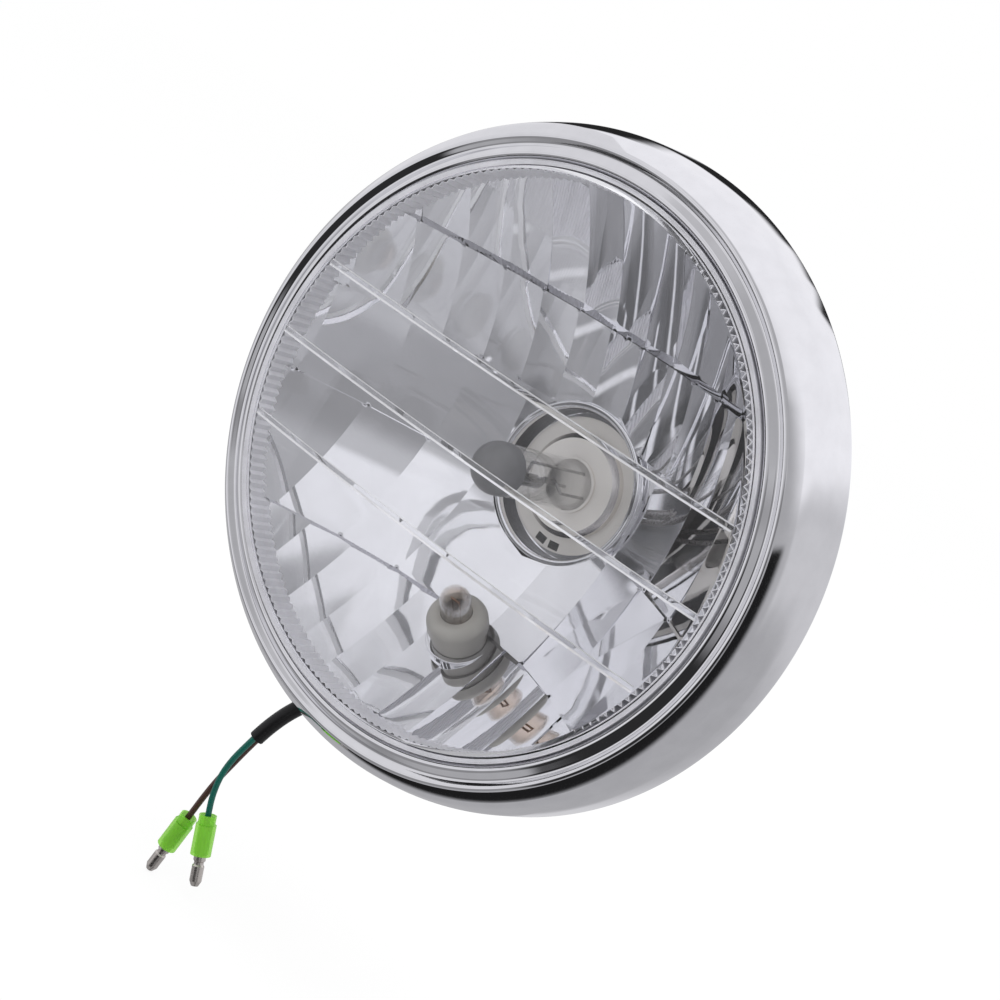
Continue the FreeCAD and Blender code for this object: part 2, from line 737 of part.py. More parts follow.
def parking_levels():
    """Heights of the parking bulb's foot, its dome's centre and its inner floor."""
    head_top = parking_boss_rise + seat_gap + holder_head_height
    foot = head_top - parking_bulb_sunk
    centre = head_top + parking_bulb_show - parking_bulb_radius
    return foot, centre, foot + parking_foot


def parking_glass():
    """Wedge-base bulb: a round-topped glass tube with a solid pinched foot."""
    foot, centre, floor = parking_levels()

    def bullet(radius, low):
        body = Part.makeCylinder(radius, centre - low, V(0, 0, low))
        return body.fuse(Part.makeSphere(radius, V(0, 0, centre))).removeSplitter()

    hollow = bullet(parking_bulb_radius - parking_bulb_wall, floor)
    return parking_local(bullet(parking_bulb_radius, foot).cut(hollow))


def parking_filament():
    """Two fine leads standing on the bulb's foot, with the coil across their ends."""
    foot, centre, floor = parking_levels()
    leads = [Part.makeCylinder(parking_wire, centre - floor, V(side * parking_wire_spread, 0, floor))
             for side in (-1, 1)]
    coil = Part.makeCylinder(parking_coil, 2 * parking_wire_spread,
                             V(-parking_wire_spread, 0, centre), V(1, 0, 0))
    ends = [Part.makeSphere(parking_coil, V(side * parking_wire_spread, 0, centre)) for side in (-1, 1)]
    return parking_local(leads[0].fuse(leads[1:] + [coil] + ends).removeSplitter())


def unit_clips():
    """Four spring strips, each hooked under the rim's hem and pressing on the back of the lens unit."""
    foot_y = unit_back + seat_gap + clip_sheet
    hem_y = -rim_sheet - seat_gap
    hem_inner = rim_radius - hem_width
    strip = bent_strip([
        (unit_radius - clip_foot, foot_y), (unit_radius + clip_overhang, foot_y),
        (hem_inner - clip_slack, hem_y), (rim_radius - rim_sheet - clip_end_gap, hem_y),
    ], [clip_bend, clip_bend], clip_sheet, clip_width)
    step = 360.0 / clip_count
    return Part.makeCompound([around(strip, clip_start + place * step) for place in range(clip_count)])


def tab_strip(width, tail):
    """Bracket with its foot on the hem and a tongue that stands out behind the rim, then its tail."""
    tongue = rim_radius - hem_width - seat_gap - tab_setback
    foot_y = -rim_sheet - tab_sheet
    outline = [(tongue + tab_foot, foot_y), (tongue - tab_sheet, foot_y), (tongue - tab_sheet, tail[0])]
    return bent_strip(outline + tail[1:], [tab_bend] + [hook_bend] * (len(tail) - 1), tab_sheet, width)


def mount_tabs():
    """Two brackets on the rim, each with a radial hole for a side screw."""
    tab = tab_strip(tab_width, [tab_length])
    drill = Part.makeCylinder(tab_hole, 20, V(tab.BoundBox.XMin - 5, tab_hole_setback, 0), V(1, 0, 0))
    tab = tab.cut(drill)
    return Part.makeCompound([around(tab, angle) for angle in tab_angles])


def tab_nuts():
    """Weld nuts on the inner face of the brackets."""
    face = rim_radius - hem_width - seat_gap - tab_setback - tab_sheet
    turns = [math.radians(60 * corner) for corner in range(7)]
    inside = face - nut_height
    corners = [V(inside, tab_hole_setback + nut_radius * math.cos(turn), nut_radius * math.sin(turn))
               for turn in turns]
    nut = Part.Face(Part.makePolygon(corners)).extrude(V(nut_height, 0, 0))
    drill = Part.makeCylinder(tab_hole, nut_height + 2, V(inside - 1, tab_hole_setback, 0), V(1, 0, 0))
    return Part.makeCompound([around(nut.cut(drill), angle) for angle in tab_angles])


def top_hook():
    """Bracket at the top that hooks over the edge of the bucket."""
    tongue = rim_radius - hem_width - seat_gap - tab_setback
    tail = [tab_length, (tongue - tab_sheet + hook_rise, tab_length)]
    return around(tab_strip(hook_width, tail), hook_angle)


def cord_path(name, points):
    """Route of a cord: straight runs with the largest tangent arc that each corner has room for."""
    radii = []
    for before, corner, after in zip(points, points[1:], points[2:]):
        shorter = min((corner - before).Length, (after - corner).Length)
        turn = (corner - before).getAngle(after - corner)
        radii.append(0.45 * shorter / math.tan(turn / 2))
    print(name, "bend radii", [round(radius, 1) for radius in radii])
    return Part.Wire(rounded_edges(points, radii))


def cord_tube(name, points, radius):
    """Round cord of one radius along its route."""
    path = cord_path(name, points)
    section = Part.Wire(Part.makeCircle(radius, points[0], points[1] - points[0]))
    cord = path.makePipeShell([section], True, False)
    print(name, "length", round(path.Length, 1))
    return cord


def sleeve_points():
    """Route of the sleeve, straight out of the holder's tail at first."""
    tail = parking_boss_back + seat_gap + holder_bead_height + holder_tail_length
    way = V(0, math.cos(parking_slope), -math.sin(parking_slope))
    start = parking_origin + way * (tail + fit_gap)
    return [start, start + way * sleeve_exit] + [V(*point) for point in sleeve_bends]


def sleeve_end():
    """End of the sleeve and the way it points there."""
    points = sleeve_points()
    return points[-1], (points[-1] - points[-2]).normalize()


def lead_sleeve():
    """Black sleeve over both wires, open at its end."""
    end, way = sleeve_end()
    bore = Part.makeCylinder(sleeve_radius - sleeve_mouth_wall, sleeve_mouth_depth + 1, end + way, way * -1)
    return cord_tube("lead_sleeve", sleeve_points(), sleeve_radius).cut(bore)


def wire_points(side, bends, connector):
    """Route of a wire from inside the sleeve's mouth to the barrel of its connector."""
    end, way = sleeve_end()
    top, bottom = [V(*point) for point in connector]
    inward = (bottom - top).normalize()
    aside = (AXIS - way * AXIS.dot(way)).normalize() * side * (wire_radius + fit_gap / 2)
    start = end - way * (sleeve_mouth_depth - fit_gap) + aside
    outside = end + way * wire_exit + aside
    return [start, outside] + [V(*point) for point in bends] + [top, top + inward * barrel_inset]


def wire_green():
    """Green wire to the right-hand connector."""
    return cord_tube("wire_green", wire_points(-1, green_bends, green_connector), wire_radius)


def wire_brown():
    """Brown wire to the left-hand connector."""
    return cord_tube("wire_brown", wire_points(1, brown_bends, brown_connector), wire_radius)


def along_connector(shape, connector):
    """Place a shape turned about +Z so that +Z runs down a connector from its top."""
    top, bottom = [V(*point) for point in connector]
    copy = shape.copy()
    copy.Placement = FreeCAD.Placement(top, FreeCAD.Rotation(V(0, 0, 1), bottom - top))
    return copy


def connector_sleeves():
    """Soft translucent sleeve over each crimped joint."""
    neck = Part.makeCylinder(connector_radius - connector_neck, connector_length)
    body = Part.makeCylinder(connector_radius, connector_length - connector_neck_length,
                             V(0, 0, connector_neck_length))
    bore = Part.makeCylinder(connector_bore, connector_length + 2, V(0, 0, -1))
    cover = neck.fuse(body).removeSplitter().cut(bore)
    return [along_connector(cover, connector) for connector in (green_connector, brown_connector)]


def bullet_pins():
    """Crimped bullet pins: barrel, waist and round-nosed pin with an open end."""
    tip = connector_length + bullet_length
    waist = connector_length + bullet_waist
    start = barrel_inset + fit_gap
    outline = [
        (0, start), (bullet_radius, start), (bullet_radius, waist - bullet_waist_width - bullet_shoulder),
        (bullet_neck, waist - bullet_waist_width), (bullet_neck, waist),
        (bullet_radius, waist + bullet_shoulder), (bullet_radius, tip - bullet_nose),
        (bullet_tip + bullet_tip_wall, tip), (bullet_tip, tip),
        (bullet_tip, tip - bullet_bore), (0, tip - bullet_bore),
    ]
    corners = [V(radius, 0, height) for radius, height in outline]
    face = Part.Face(Part.makePolygon(corners + corners[:1]))
    pin = face.revolve(V(0, 0, 0), V(0, 0, 1), 360)
    return [along_connector(pin, connector) for connector in (green_connector, brown_connector)]


def pieces():
    """Every piece of the headlight by its name."""
    green_cover, brown_cover = connector_sleeves()
    green_pin, brown_pin = bullet_pins()
    return {
        "rim": rim(),
        "lens": lens(),
        "lens_seal": lens_seal(),
        "reflector": reflector(),
        "unit_clips": unit_clips(),
        "mount_tabs": mount_tabs(),
        "tab_nuts": tab_nuts(),
        "top_hook": top_hook(),
        "bulb_glass": lowered(bulb_glass()),
        "bulb_tip_cap": lowered(bulb_tip_cap()),
        "bulb_base": lowered(bulb_base()),
        "bulb_insulator": lowered(bulb_insulator()),
        "bulb_terminals": lowered(bulb_terminals()),
        "bulb_supports": lowered(bulb_supports()),
        "bulb_shield": lowered(bulb_shield()),
        "bulb_filaments": lowered(bulb_filaments()),
        "bulb_spring": lowered(bulb_spring()),
        "spring_screws": lowered(spring_screws()),
        "dust_boot": lowered(dust_boot()),
        "parking_holder": parking_holder(),
        "parking_glass": parking_glass(),
        "parking_filament": parking_filament(),
        "lead_sleeve": lead_sleeve(),
        "wire_green": wire_green(),
        "wire_brown": wire_brown(),
        "green_connector_sleeve": green_cover,
        "brown_connector_sleeve": brown_cover,
        "green_bullet_pin": green_pin,
        "brown_bullet_pin": brown_pin,
    }


os.makedirs("parts", exist_ok=True)
for name, shape in pieces().items():
    print(name, "solids", len(shape.Solids), "valid", shape.isValid(), "volume", round(shape.Volume, 1))
    shape.exportStep("parts/" + name + ".step")
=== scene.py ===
"""Looks of a round motorcycle headlight: chrome, glass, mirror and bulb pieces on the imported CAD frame.

Sizes are in millimetres in the lamp's own frame: it faces -Y with +Z up, and the origin is on the optical
axis in the plane of the rim's rear edge. Meshes are scaled to metres when they are made.
"""
import json
import math

import bmesh
import bpy
import numpy as np
from mathutils import Matrix, Vector

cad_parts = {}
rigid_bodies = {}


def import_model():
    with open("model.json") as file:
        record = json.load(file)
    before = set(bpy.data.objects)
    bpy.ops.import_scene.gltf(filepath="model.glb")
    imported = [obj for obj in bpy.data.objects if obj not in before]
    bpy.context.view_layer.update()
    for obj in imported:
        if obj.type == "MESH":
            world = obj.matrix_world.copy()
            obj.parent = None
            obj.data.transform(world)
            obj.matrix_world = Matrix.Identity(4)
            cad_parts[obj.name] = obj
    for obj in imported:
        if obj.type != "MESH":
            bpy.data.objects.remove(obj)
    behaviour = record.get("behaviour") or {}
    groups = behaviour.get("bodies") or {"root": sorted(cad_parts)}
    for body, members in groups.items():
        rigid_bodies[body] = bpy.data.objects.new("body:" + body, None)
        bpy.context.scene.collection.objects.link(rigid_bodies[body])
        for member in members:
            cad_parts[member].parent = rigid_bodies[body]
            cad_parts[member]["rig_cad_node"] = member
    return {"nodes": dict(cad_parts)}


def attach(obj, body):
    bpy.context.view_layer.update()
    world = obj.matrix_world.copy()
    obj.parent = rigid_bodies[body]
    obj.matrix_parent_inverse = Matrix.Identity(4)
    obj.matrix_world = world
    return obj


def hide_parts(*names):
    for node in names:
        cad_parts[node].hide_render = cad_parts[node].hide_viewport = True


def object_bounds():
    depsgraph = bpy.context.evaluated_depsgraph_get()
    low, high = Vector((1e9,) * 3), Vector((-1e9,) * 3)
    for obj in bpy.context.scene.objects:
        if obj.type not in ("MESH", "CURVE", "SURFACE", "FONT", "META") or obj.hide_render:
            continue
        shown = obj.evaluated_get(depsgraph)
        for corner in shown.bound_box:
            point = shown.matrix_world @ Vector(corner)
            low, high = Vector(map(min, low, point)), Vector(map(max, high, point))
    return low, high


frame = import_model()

MM = 0.001
MERGE_DISTANCE = 1e-7
cad_low, cad_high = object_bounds()

# Rim, by the corners of its outer face as radius and y, and the radius of each inner corner
RIM_OUTLINE = [(83.7, -22.2), (83.7, -26.1), (88.0, -23.4), (90.2, -25.2), (95.12, -19.66), (97.58, -11.34),
               (98.4, 0.0), (95.4, 0.0)]
RIM_RADII = [1.5, 1.0, 1.3, 9.0, 24.0, 1.4]
RIM_SHEET = 0.8
RIM_SEGMENTS = 640

# Lens
LENS_RADIUS = 83.2
LENS_FRONT = -33.0
DOME_EDGE = -28.0
LENS_CORNER = 3.0
LENS_WALL = 2.2
FLANGE_FRONT = -21.9
FLANGE_BACK = -18.9
FLANGE_RADIUS = 88.6
TONGUE = (84.0, 86.2)
TONGUE_END = -13.9
KNURL_TEETH = 200
KNURL_STEPS = 6
KNURL_DEPTH = 0.7
KNURL_RADIUS = 80.75
KNURL_SETBACK = 0.6
KNURL_END = -15.6
BAND_GAP = 0.03
BAND_SHEET = 0.15
# Top of the frosted ring inside the skirt's glass, which is painted light
PAINTED_RING_TOP = -24.2
RIB_HEIGHTS = (22.5, -1.5, -26.5)
RIB_WIDTH = 2.1
RIB_CROWN = 1.2
RIB_DEPTH = 0.8
RIB_ROUND = 0.25
RIB_GAP = 0.02
RIB_STATIONS = 60
LENS_SEGMENTS = 480
DOME_RINGS = 14
CORNER_RINGS = 8
LENS_BORE = LENS_RADIUS - LENS_WALL
CORNER_Y = DOME_EDGE + LENS_CORNER
CROWN_RADIUS = LENS_RADIUS - LENS_CORNER
CROWN_RISE = DOME_EDGE - LENS_FRONT
DOME_SPHERE = (CROWN_RADIUS ** 2 + CROWN_RISE ** 2) / (2 * CROWN_RISE)

# Mirror, in level zones from the bottom up. A flute's lean across and up comes from its number, and at and
# left of the middle it is the zone's share in CALM_SIDE.
MIRROR_RADIUS = 80.8
MIRROR_FOCUS = 35.0
VERTEX_Y = 29.65
MIRROR_WALL = 2.4
ZONE_LEVELS = (-MIRROR_RADIUS, -49.0, -12.5, 17.0, 45.0, MIRROR_RADIUS)
ZONE_ADVANCE = (1.1, -1.1, 1.1, -1.1, 1.1)
FLUTE_WIDTH = (11.6, 17.4, 17.4, 11.6, 11.6)
FLUTE_RISE = 0.45
FLUTE_LEAN = (0.05, 0.022)
LEAN_TURN = 2.4
LEAN_ZONE = 7
LEAN_RISE = 1.7
CALM_SIDE = (0.08, 0.08, 0.06, 0.2, 0.6)
MIRROR_STEP = 0.9
NARROWEST_FACET = 0.02
WALL_LEVELS = 60
STEP_PLACES = 260
FLUTE_NUDGE = 1e-6
CHANNEL_TOP = -18.6
CHANNEL_BOTTOM = -11.6
CHANNEL = (83.6, 86.6)
CHANNEL_WALL = 2.4
UNIT_BACK = -9.6
UNIT_RADIUS = 89.0
NECK_BORE = 22.8
NECK_LIP = 25.0
LIP_LAP = 0.5
NECK_MOUTH = 23.74
LEDGE = (29.94, 31.14)
LEDGE_BORE = 20.9
RECESS_RADIUS = 22.4
NECK_BACK = 35.54
NECK_OUTER = 27.8
NECK_START = 26.0
NECK_ROUND = 0.8
NECK_SEGMENTS = 192
BORE_SETBACK = 2.4
BORE_GAP = 0.02
BORE_SHEET = 0.1
BODY_BORE = 25.3
BACK_CONES = 24
BODY_SHARE = 0.4
BODY_SEGMENTS = 256

# Main bulb
BULB_RADIUS = 7.6
BULB_WALL = 0.9
BULB_TIP = -20.71
BULB_FOOT = 31.29
BULB_DROP = 2.0
TIP_COAT = 10.0
COAT_GAP = 0.05
COAT = 0.15
BULB_SEGMENTS = 96
TIP_RINGS = 16

# Parking bulb, on an axis of its own
PARKING_SEAT = Vector((3.5, 8.27, -54.6))
PARKING_AXIS = Vector((0.0, -0.7199, 0.6941))
PARKING_RADIUS = 4.6
PARKING_WALL = 0.6
PARKING_FOOT = 5.1
PARKING_FLOOR = 2.5
PARKING_TOP = 21.8
PARKING_SEGMENTS = 72
BOSS_RADIUS = 10.0
BOSS_RISE = 0.6
BOSS_BACK = 5.6
BOSS_HOLE = 8.0
BOSS_ROUND = 0.4
BOSS_LAP = 1.0
BOSS_SEGMENTS = 96

# Lead, with the lengths of its cords in metres
SLEEVE_RADIUS = 2.5
WIRE_RADIUS = 1.0
SLEEVE_ROUTE = [(3.5, 20.40, -66.30), (3.5, 26.88, -72.54), (-0.1, 32.5, -78.1), (-6.1, 35.9, -83.2),
                (-13.8, 36.3, -86.9), (-21.4, 33.2, -89.6), (-27.6, 27.4, -92.8), (-32.6, 17.6, -98.6),
                (-37.0, 11.0, -106.2), (-40.4, 7.6, -115.2), (-41.9, 6.7, -120.8)]
WIRE_INSIDE = 5.85
WIRE_EXIT = 3.2
WIRE_OFFSET = 1.075
GREEN_BENDS = [(-45.2, 5.2, -131.5), (-46.2, 5.4, -138.5), (-45.6, 5.9, -145.5)]
BROWN_BENDS = [(-45.4, 7.6, -132.0), (-48.2, 7.8, -141.0), (-49.8, 7.6, -149.5)]
GREEN_CONNECTOR = ((-43.9, 6.4, -151.2), (-39.7, 7.0, -163.4))
BROWN_CONNECTOR = ((-50.8, 7.4, -156.6), (-52.7, 7.0, -169.2))
BARREL_INSET = 3.2
GREEN_LENGTH = 0.0405
BROWN_LENGTH = 0.0459

# Camera, fitted to the photograph
CAMERA_AZIMUTH = 30.9
CAMERA_ELEVATION = 10.95
CAMERA_ROLL = 29.12
CAMERA_DISTANCE = 520.0
CAMERA_ASIDE = (4.92, -11.66)
CAMERA_TARGET = Vector((0.0, -24.0, 0.0))
CAMERA_LENS = 68.14

# Room shown in chrome, mirror and glass: left, right, bottom, top and softness of each patch in degrees
# about the picture's axes, its brightness and the rays that show it
ROOM_PEAK = 1.1
ROOM_TINT = (0.97, 0.965, 1.0)
ROOM_BASE = 0.48
ROOM = [
    (-220, 220, 24, 130, 5, 0.84, "all"),
    (-105, 22, -1, 26, 4, 0.60, "all"),
    (-25, 24, 6.5, 62, 1.5, 0.98, "glass"),
    (-25, 24, 9, 62, 5, 0.50, "gloss"),
    (-30, 24, 46, 66, 5, 0.62, "gloss"),
    (-105, 22, -38, -3, 4, 0.31, "all"),
    (-101, -80, -15, 3, 4, 0.21, "all"),
    (-32, -4, -14, 3, 4, 0.33, "glass"),
    (-90, -52, 5, 22, 3, 0.88, "gloss"),
    (-7, 22, -20, 4, 3, 0.48, "gloss"),
    (-40, 2, -2, 9, 3, 0.26, "gloss"),
    (-60, -9, -50, -1, 3, 0.03, "gloss"),
    (-52, -25, 32, 62, 5, 0.98, "glass"),
    (43, 220, -6, 130, 6, 1.05, "all"),
    (43, 220, -32, -6, 8, 0.70, "all"),
    (24, 38, 14, 48, 4, 0.48, "all"),
    (166, 220, 15, 52, 4, 0.02, "gloss"),
    (158, 172, 8, 30.5, 2, 0.02, "gloss"),
    (150, 162, 8, 24.4, 1.5, 0.02, "gloss"),
    (142, 154, 7, 22.9, 1.2, 0.02, "gloss"),
    (135, 146, 6, 21.4, 1.2, 0.02, "gloss"),
    (-220, -150, 20, 130, 6, 0.85, "all"),
    (-66, -40, -6, 26, 4, 0.08, "glass"),
    (-52, -33, -28, -4, 3, 0.15, "glass"),
    (-60, -57, -6, 26, 1, 0.95, "glass"),
    (-50, -48.5, -20, 26, 0.7, 0.95, "glass"),
    (-40, -38.5, -30, 20, 0.7, 0.9, "glass"),
    (-90, -87, -50, 5, 1, 0.8, "glass"),
]

# Straight dark bar low in the room: square to this axis, its half width and its top in degrees
BAR_AXIS = (0.785, -0.233, -0.574)
BAR_HALF = 6.0
BAR_TOP = -14.0
BAR_SOFT = 1.5
BAR_SHADE = 0.015

# Studio, with the key lamp's place in metres along the picture's axes
SOFT_LIGHT = 0.7
KEY_PLACE = (0.5, 0.9, 0.6)
KEY_SIZE = 0.8
KEY_POWER = 6.0
FLOOR_HALF = 3.0
FLOOR_GAP = 0.0005
FLOOR_COLOUR = (0.9, 0.9, 0.9)
FLOOR_GLOW = 1.06
FLOOR_SHARE = 0.85

# Materials: the range of most of a noise's values, the size in grains and the shade of a surface's darker
# patches, and the share of a face's normal along the lamp's axis above which it looks ahead and below which
# it looks aside
NOISE_RANGE = (0.3, 0.7)
METAL_PATCH = 12
METAL_SHADE = 0.94
PLASTIC_PATCH = 15
PLASTIC_SHADE = 0.82
PLASTIC_GLOSS = (0.8, 1.2)
# Shares of facing used to paint shading on the bulb base and highlight lines on the lens ribs
AHEAD = 0.97
ASIDE = 0.75
LENS_TINT = (0.97, 0.975, 0.985)
LENS_INDEX = 1.5
LENS_RIPPLE = 14.0
# White of the painted highlight lines on the ribs' steep sides
RIB_HIGHLIGHT = (0.95, 0.95, 0.97)

# Longest step and largest turn in degrees on an arc
ARC_STEP = 1.0
ARC_TURN = 9.0


def new_material(name, colour, roughness, metallic=0.0, **sockets):
    """Principled material with its constant values set on the shader's own sockets."""
    material = bpy.data.materials.new(name)
    material.use_nodes = True
    shader = material.node_tree.nodes["Principled BSDF"]
    shader.inputs["Base Color"].default_value = (*colour, 1.0)
    shader.inputs["Roughness"].default_value = roughness
    shader.inputs["Metallic"].default_value = metallic
    for socket, value in sockets.items():
        shader.inputs[socket.replace("_", " ")].default_value = value
    return material


def calculate(tree, operation, *inputs):
    """Result of a math node on sockets."""
    node = tree.nodes.new("ShaderNodeMath")
    node.operation = operation
    for socket, source in zip(node.inputs, inputs):
        tree.links.new(source, socket)
    return node.outputs["Value"]


def spread(tree, value, start, end, low=0.0, high=1.0, kind="LINEAR"):
    """Value that runs from low to high while another one runs from start to end."""
    node = tree.nodes.new("ShaderNodeMapRange")
    node.interpolation_type = kind
    for socket, number in zip(("From Min", "From Max", "To Min", "To Max"), (start, end, low, high)):
        node.inputs[socket].default_value = number
    tree.links.new(value, node.inputs["Value"])
    return node.outputs["Result"]


def mix_shaders(tree, share, first, second):
    """Shader that goes from the first to the second by a share, which is a number or a socket."""
    choose = tree.nodes.new("ShaderNodeMixShader")
    if isinstance(share, float):
        choose.inputs["Fac"].default_value = share
    else:
        tree.links.new(share, choose.inputs["Fac"])
    tree.links.new(first, choose.inputs[1])
    tree.links.new(second, choose.inputs[2])
    return choose.outputs["Shader"]


def mix_in(material, share, kind, colour):
    """Mix a share of a plain shader of this kind and colour into what a material shows."""
    tree = material.node_tree
    surface = tree.nodes["Material Output"].inputs["Surface"]
    plain = tree.nodes.new(kind)
    plain.inputs["Color"].default_value = (*colour, 1.0)
    mixed = mix_shaders(tree, share, surface.links[0].from_socket, plain.outputs["BSDF"])
    tree.links.new(mixed, surface)


def noise(material, size, detail=4.0):
    """Noise with features of about this many millimetres, fixed to the object."""
    tree = material.node_tree
    place = tree.nodes.new("ShaderNodeTexCoord")
    texture = tree.nodes.new("ShaderNodeTexNoise")
    texture.inputs["Scale"].default_value = 1.0 / (size * MM)
    texture.inputs["Detail"].default_value = detail
    tree.links.new(place.outputs["Object"], texture.inputs["Vector"])
    return texture.outputs["Fac"]


def bump(material, height, depth):
    """Relief of this many millimetres, added to any relief that the shader already has."""
    tree = material.node_tree
    normal = tree.nodes["Principled BSDF"].inputs["Normal"]
    relief = tree.nodes.new("ShaderNodeBump")
    relief.inputs["Distance"].default_value = depth * MM
    relief.inputs["Strength"].default_value = 1.0
    tree.links.new(height, relief.inputs["Height"])
    if normal.is_linked:
        tree.links.new(normal.links[0].from_socket, relief.inputs["Normal"])
    tree.links.new(relief.outputs["Normal"], normal)


def vary(material, socket, fac, low, high):
    """Let a shader value run from low to high with a texture."""
    tree = material.node_tree
    value = spread(tree, fac, *NOISE_RANGE, low, high)
    tree.links.new(value, tree.nodes["Principled BSDF"].inputs[socket])


def by_facing(material, ahead, aside):
    """Value for faces that look along the lamp's axis, running to another for those that look aside."""
    tree = material.node_tree
    normal = tree.nodes.new("ShaderNodeTexCoord").outputs["Normal"]
    parts = tree.nodes.new("ShaderNodeSeparateXYZ")
    tree.links.new(normal, parts.inputs["Vector"])
    return spread(tree, calculate(tree, "ABSOLUTE", parts.outputs["Y"]), AHEAD, ASIDE, ahead, aside)


def tint(material, fac, first, second):
    """Let the colour run between two colours with a texture."""
    tree = material.node_tree
    ramp = tree.nodes.new("ShaderNodeValToRGB")
    for element, position, colour in zip(ramp.color_ramp.elements, NOISE_RANGE, (first, second)):
        element.position = position
        element.color = (*colour, 1.0)
    tree.links.new(fac, ramp.inputs["Fac"])
    tree.links.new(ramp.outputs["Color"], tree.nodes["Principled BSDF"].inputs["Base Color"])


def metal(name, colour, roughness, grain, relief, uneven=0.3):
    """Metal with a fine grain in its colour, gloss and surface."""
    material = new_material(name, colour, roughness, 1.0)
    fine = noise(material, grain)
    broad = noise(material, grain * METAL_PATCH, 3.0)
    tint(material, broad, [part * METAL_SHADE for part in colour], colour)
    vary(material, "Roughness", fine, roughness * (1 - uneven), roughness * (1 + uneven))
    bump(material, fine, relief)
    return material


def plated_with_painted_shading(name, colour, roughness):
    """Satin metal plating with painted shading: faces across the lamp's axis get a pale diffuse finish and
    its sides mirror the room, so one material shows pale faces and darker sides.
    """
    material = metal(name, colour, roughness, 1.5, 0.002, 0.2)
    tree = material.node_tree
    tree.links.new(by_facing(material, 0.12, 1.0), tree.nodes["Principled BSDF"].inputs["Metallic"])
    return material


def moulded(name, colour, roughness, grain, relief, **sockets):
    """Moulded plastic or rubber with a fine texture and slightly uneven colour."""
    material = new_material(name, colour, roughness, 0.0, **sockets)
    fine = noise(material, grain)
    broad = noise(material, grain * PLASTIC_PATCH, 3.0)
    tint(material, broad, [part * PLASTIC_SHADE for part in colour], colour)
    vary(material, "Roughness", fine, *(roughness * share for share in PLASTIC_GLOSS))
    bump(material, fine, relief)
    return material


def clear(name, colour, index, ripple_size, ripple):
    """Clear moulded material with a faint ripple, which lets plain light through on to what is behind it."""
    material = new_material(name, colour, 0.0, 0.0, IOR=index, Transmission_Weight=1.0)
    bump(material, noise(material, ripple_size, 2.0), ripple)
    vary(material, "Roughness", noise(material, ripple_size / 2, 1.0), 0.0, 0.015)
    tree = material.node_tree
    path = tree.nodes.new("ShaderNodeLightPath").outputs
    lit = calculate(tree, "MAXIMUM", path["Is Shadow Ray"], path["Is Diffuse Ray"])
    mix_in(material, lit, "ShaderNodeBsdfTransparent", (1.0, 1.0, 1.0))
    return material


def clear_with_painted_highlights(name, colour, index, ripple_size, ripple, share):
    """Clear moulding whose steep sides get a share of white diffuse: painted highlight lines along their
    edges.
    """
    material = clear(name, colour, index, ripple_size, ripple)
    mix_in(material, by_facing(material, 0.05, share), "ShaderNodeBsdfDiffuse", RIB_HIGHLIGHT)
    return material


def thin_glass(name, colour, blend, ripple_size, ripple):
    """Blown glass wall, clear face on and bright where it is seen edge on."""
    material = new_material(name, (1.0, 1.0, 1.0), 0.02, 1.0)
    bump(material, noise(material, ripple_size, 2.0), ripple)
    vary(material, "Roughness", noise(material, ripple_size / 4), 0.01, 0.05)
    tree = material.node_tree
    weight = tree.nodes.new("ShaderNodeLayerWeight")
    weight.inputs["Blend"].default_value = blend
    face_on = spread(tree, weight.outputs["Facing"], 0.0, 1.0, 1.0, 0.0)
    mix_in(material, face_on, "ShaderNodeBsdfTransparent", colour)
    return material


def frosted(name, colour, share):
    """Ground clear plastic that passes a share of the light on, scattered."""
    material = moulded(name, colour, 0.3, 0.6, 0.01)
    mix_in(material, share, "ShaderNodeBsdfTranslucent", colour)
    return material


def tinted(name, colour, through, share):
    """Coloured clear plastic that shows what is inside it."""
    material = moulded(name, colour, 0.2, 1.5, 0.002)
    mix_in(material, share, "ShaderNodeBsdfTransparent", through)
    return material


def mirror_coat():
    """Vacuum-coated mirror: bright, with the uneven ripple of the moulding under it."""
    material = new_material("mirror_coat", (0.86, 0.86, 0.88), 0.05, 1.0)
    bump(material, noise(material, 12.0, 1.0), 0.012)
    bump(material, noise(material, 3.0, 1.0), 0.0003)
    vary(material, "Roughness", noise(material, 6.0, 1.0), 0.012, 0.03)
    tint(material, noise(material, 16.0), (0.84, 0.84, 0.86), (0.90, 0.90, 0.92))
    return material


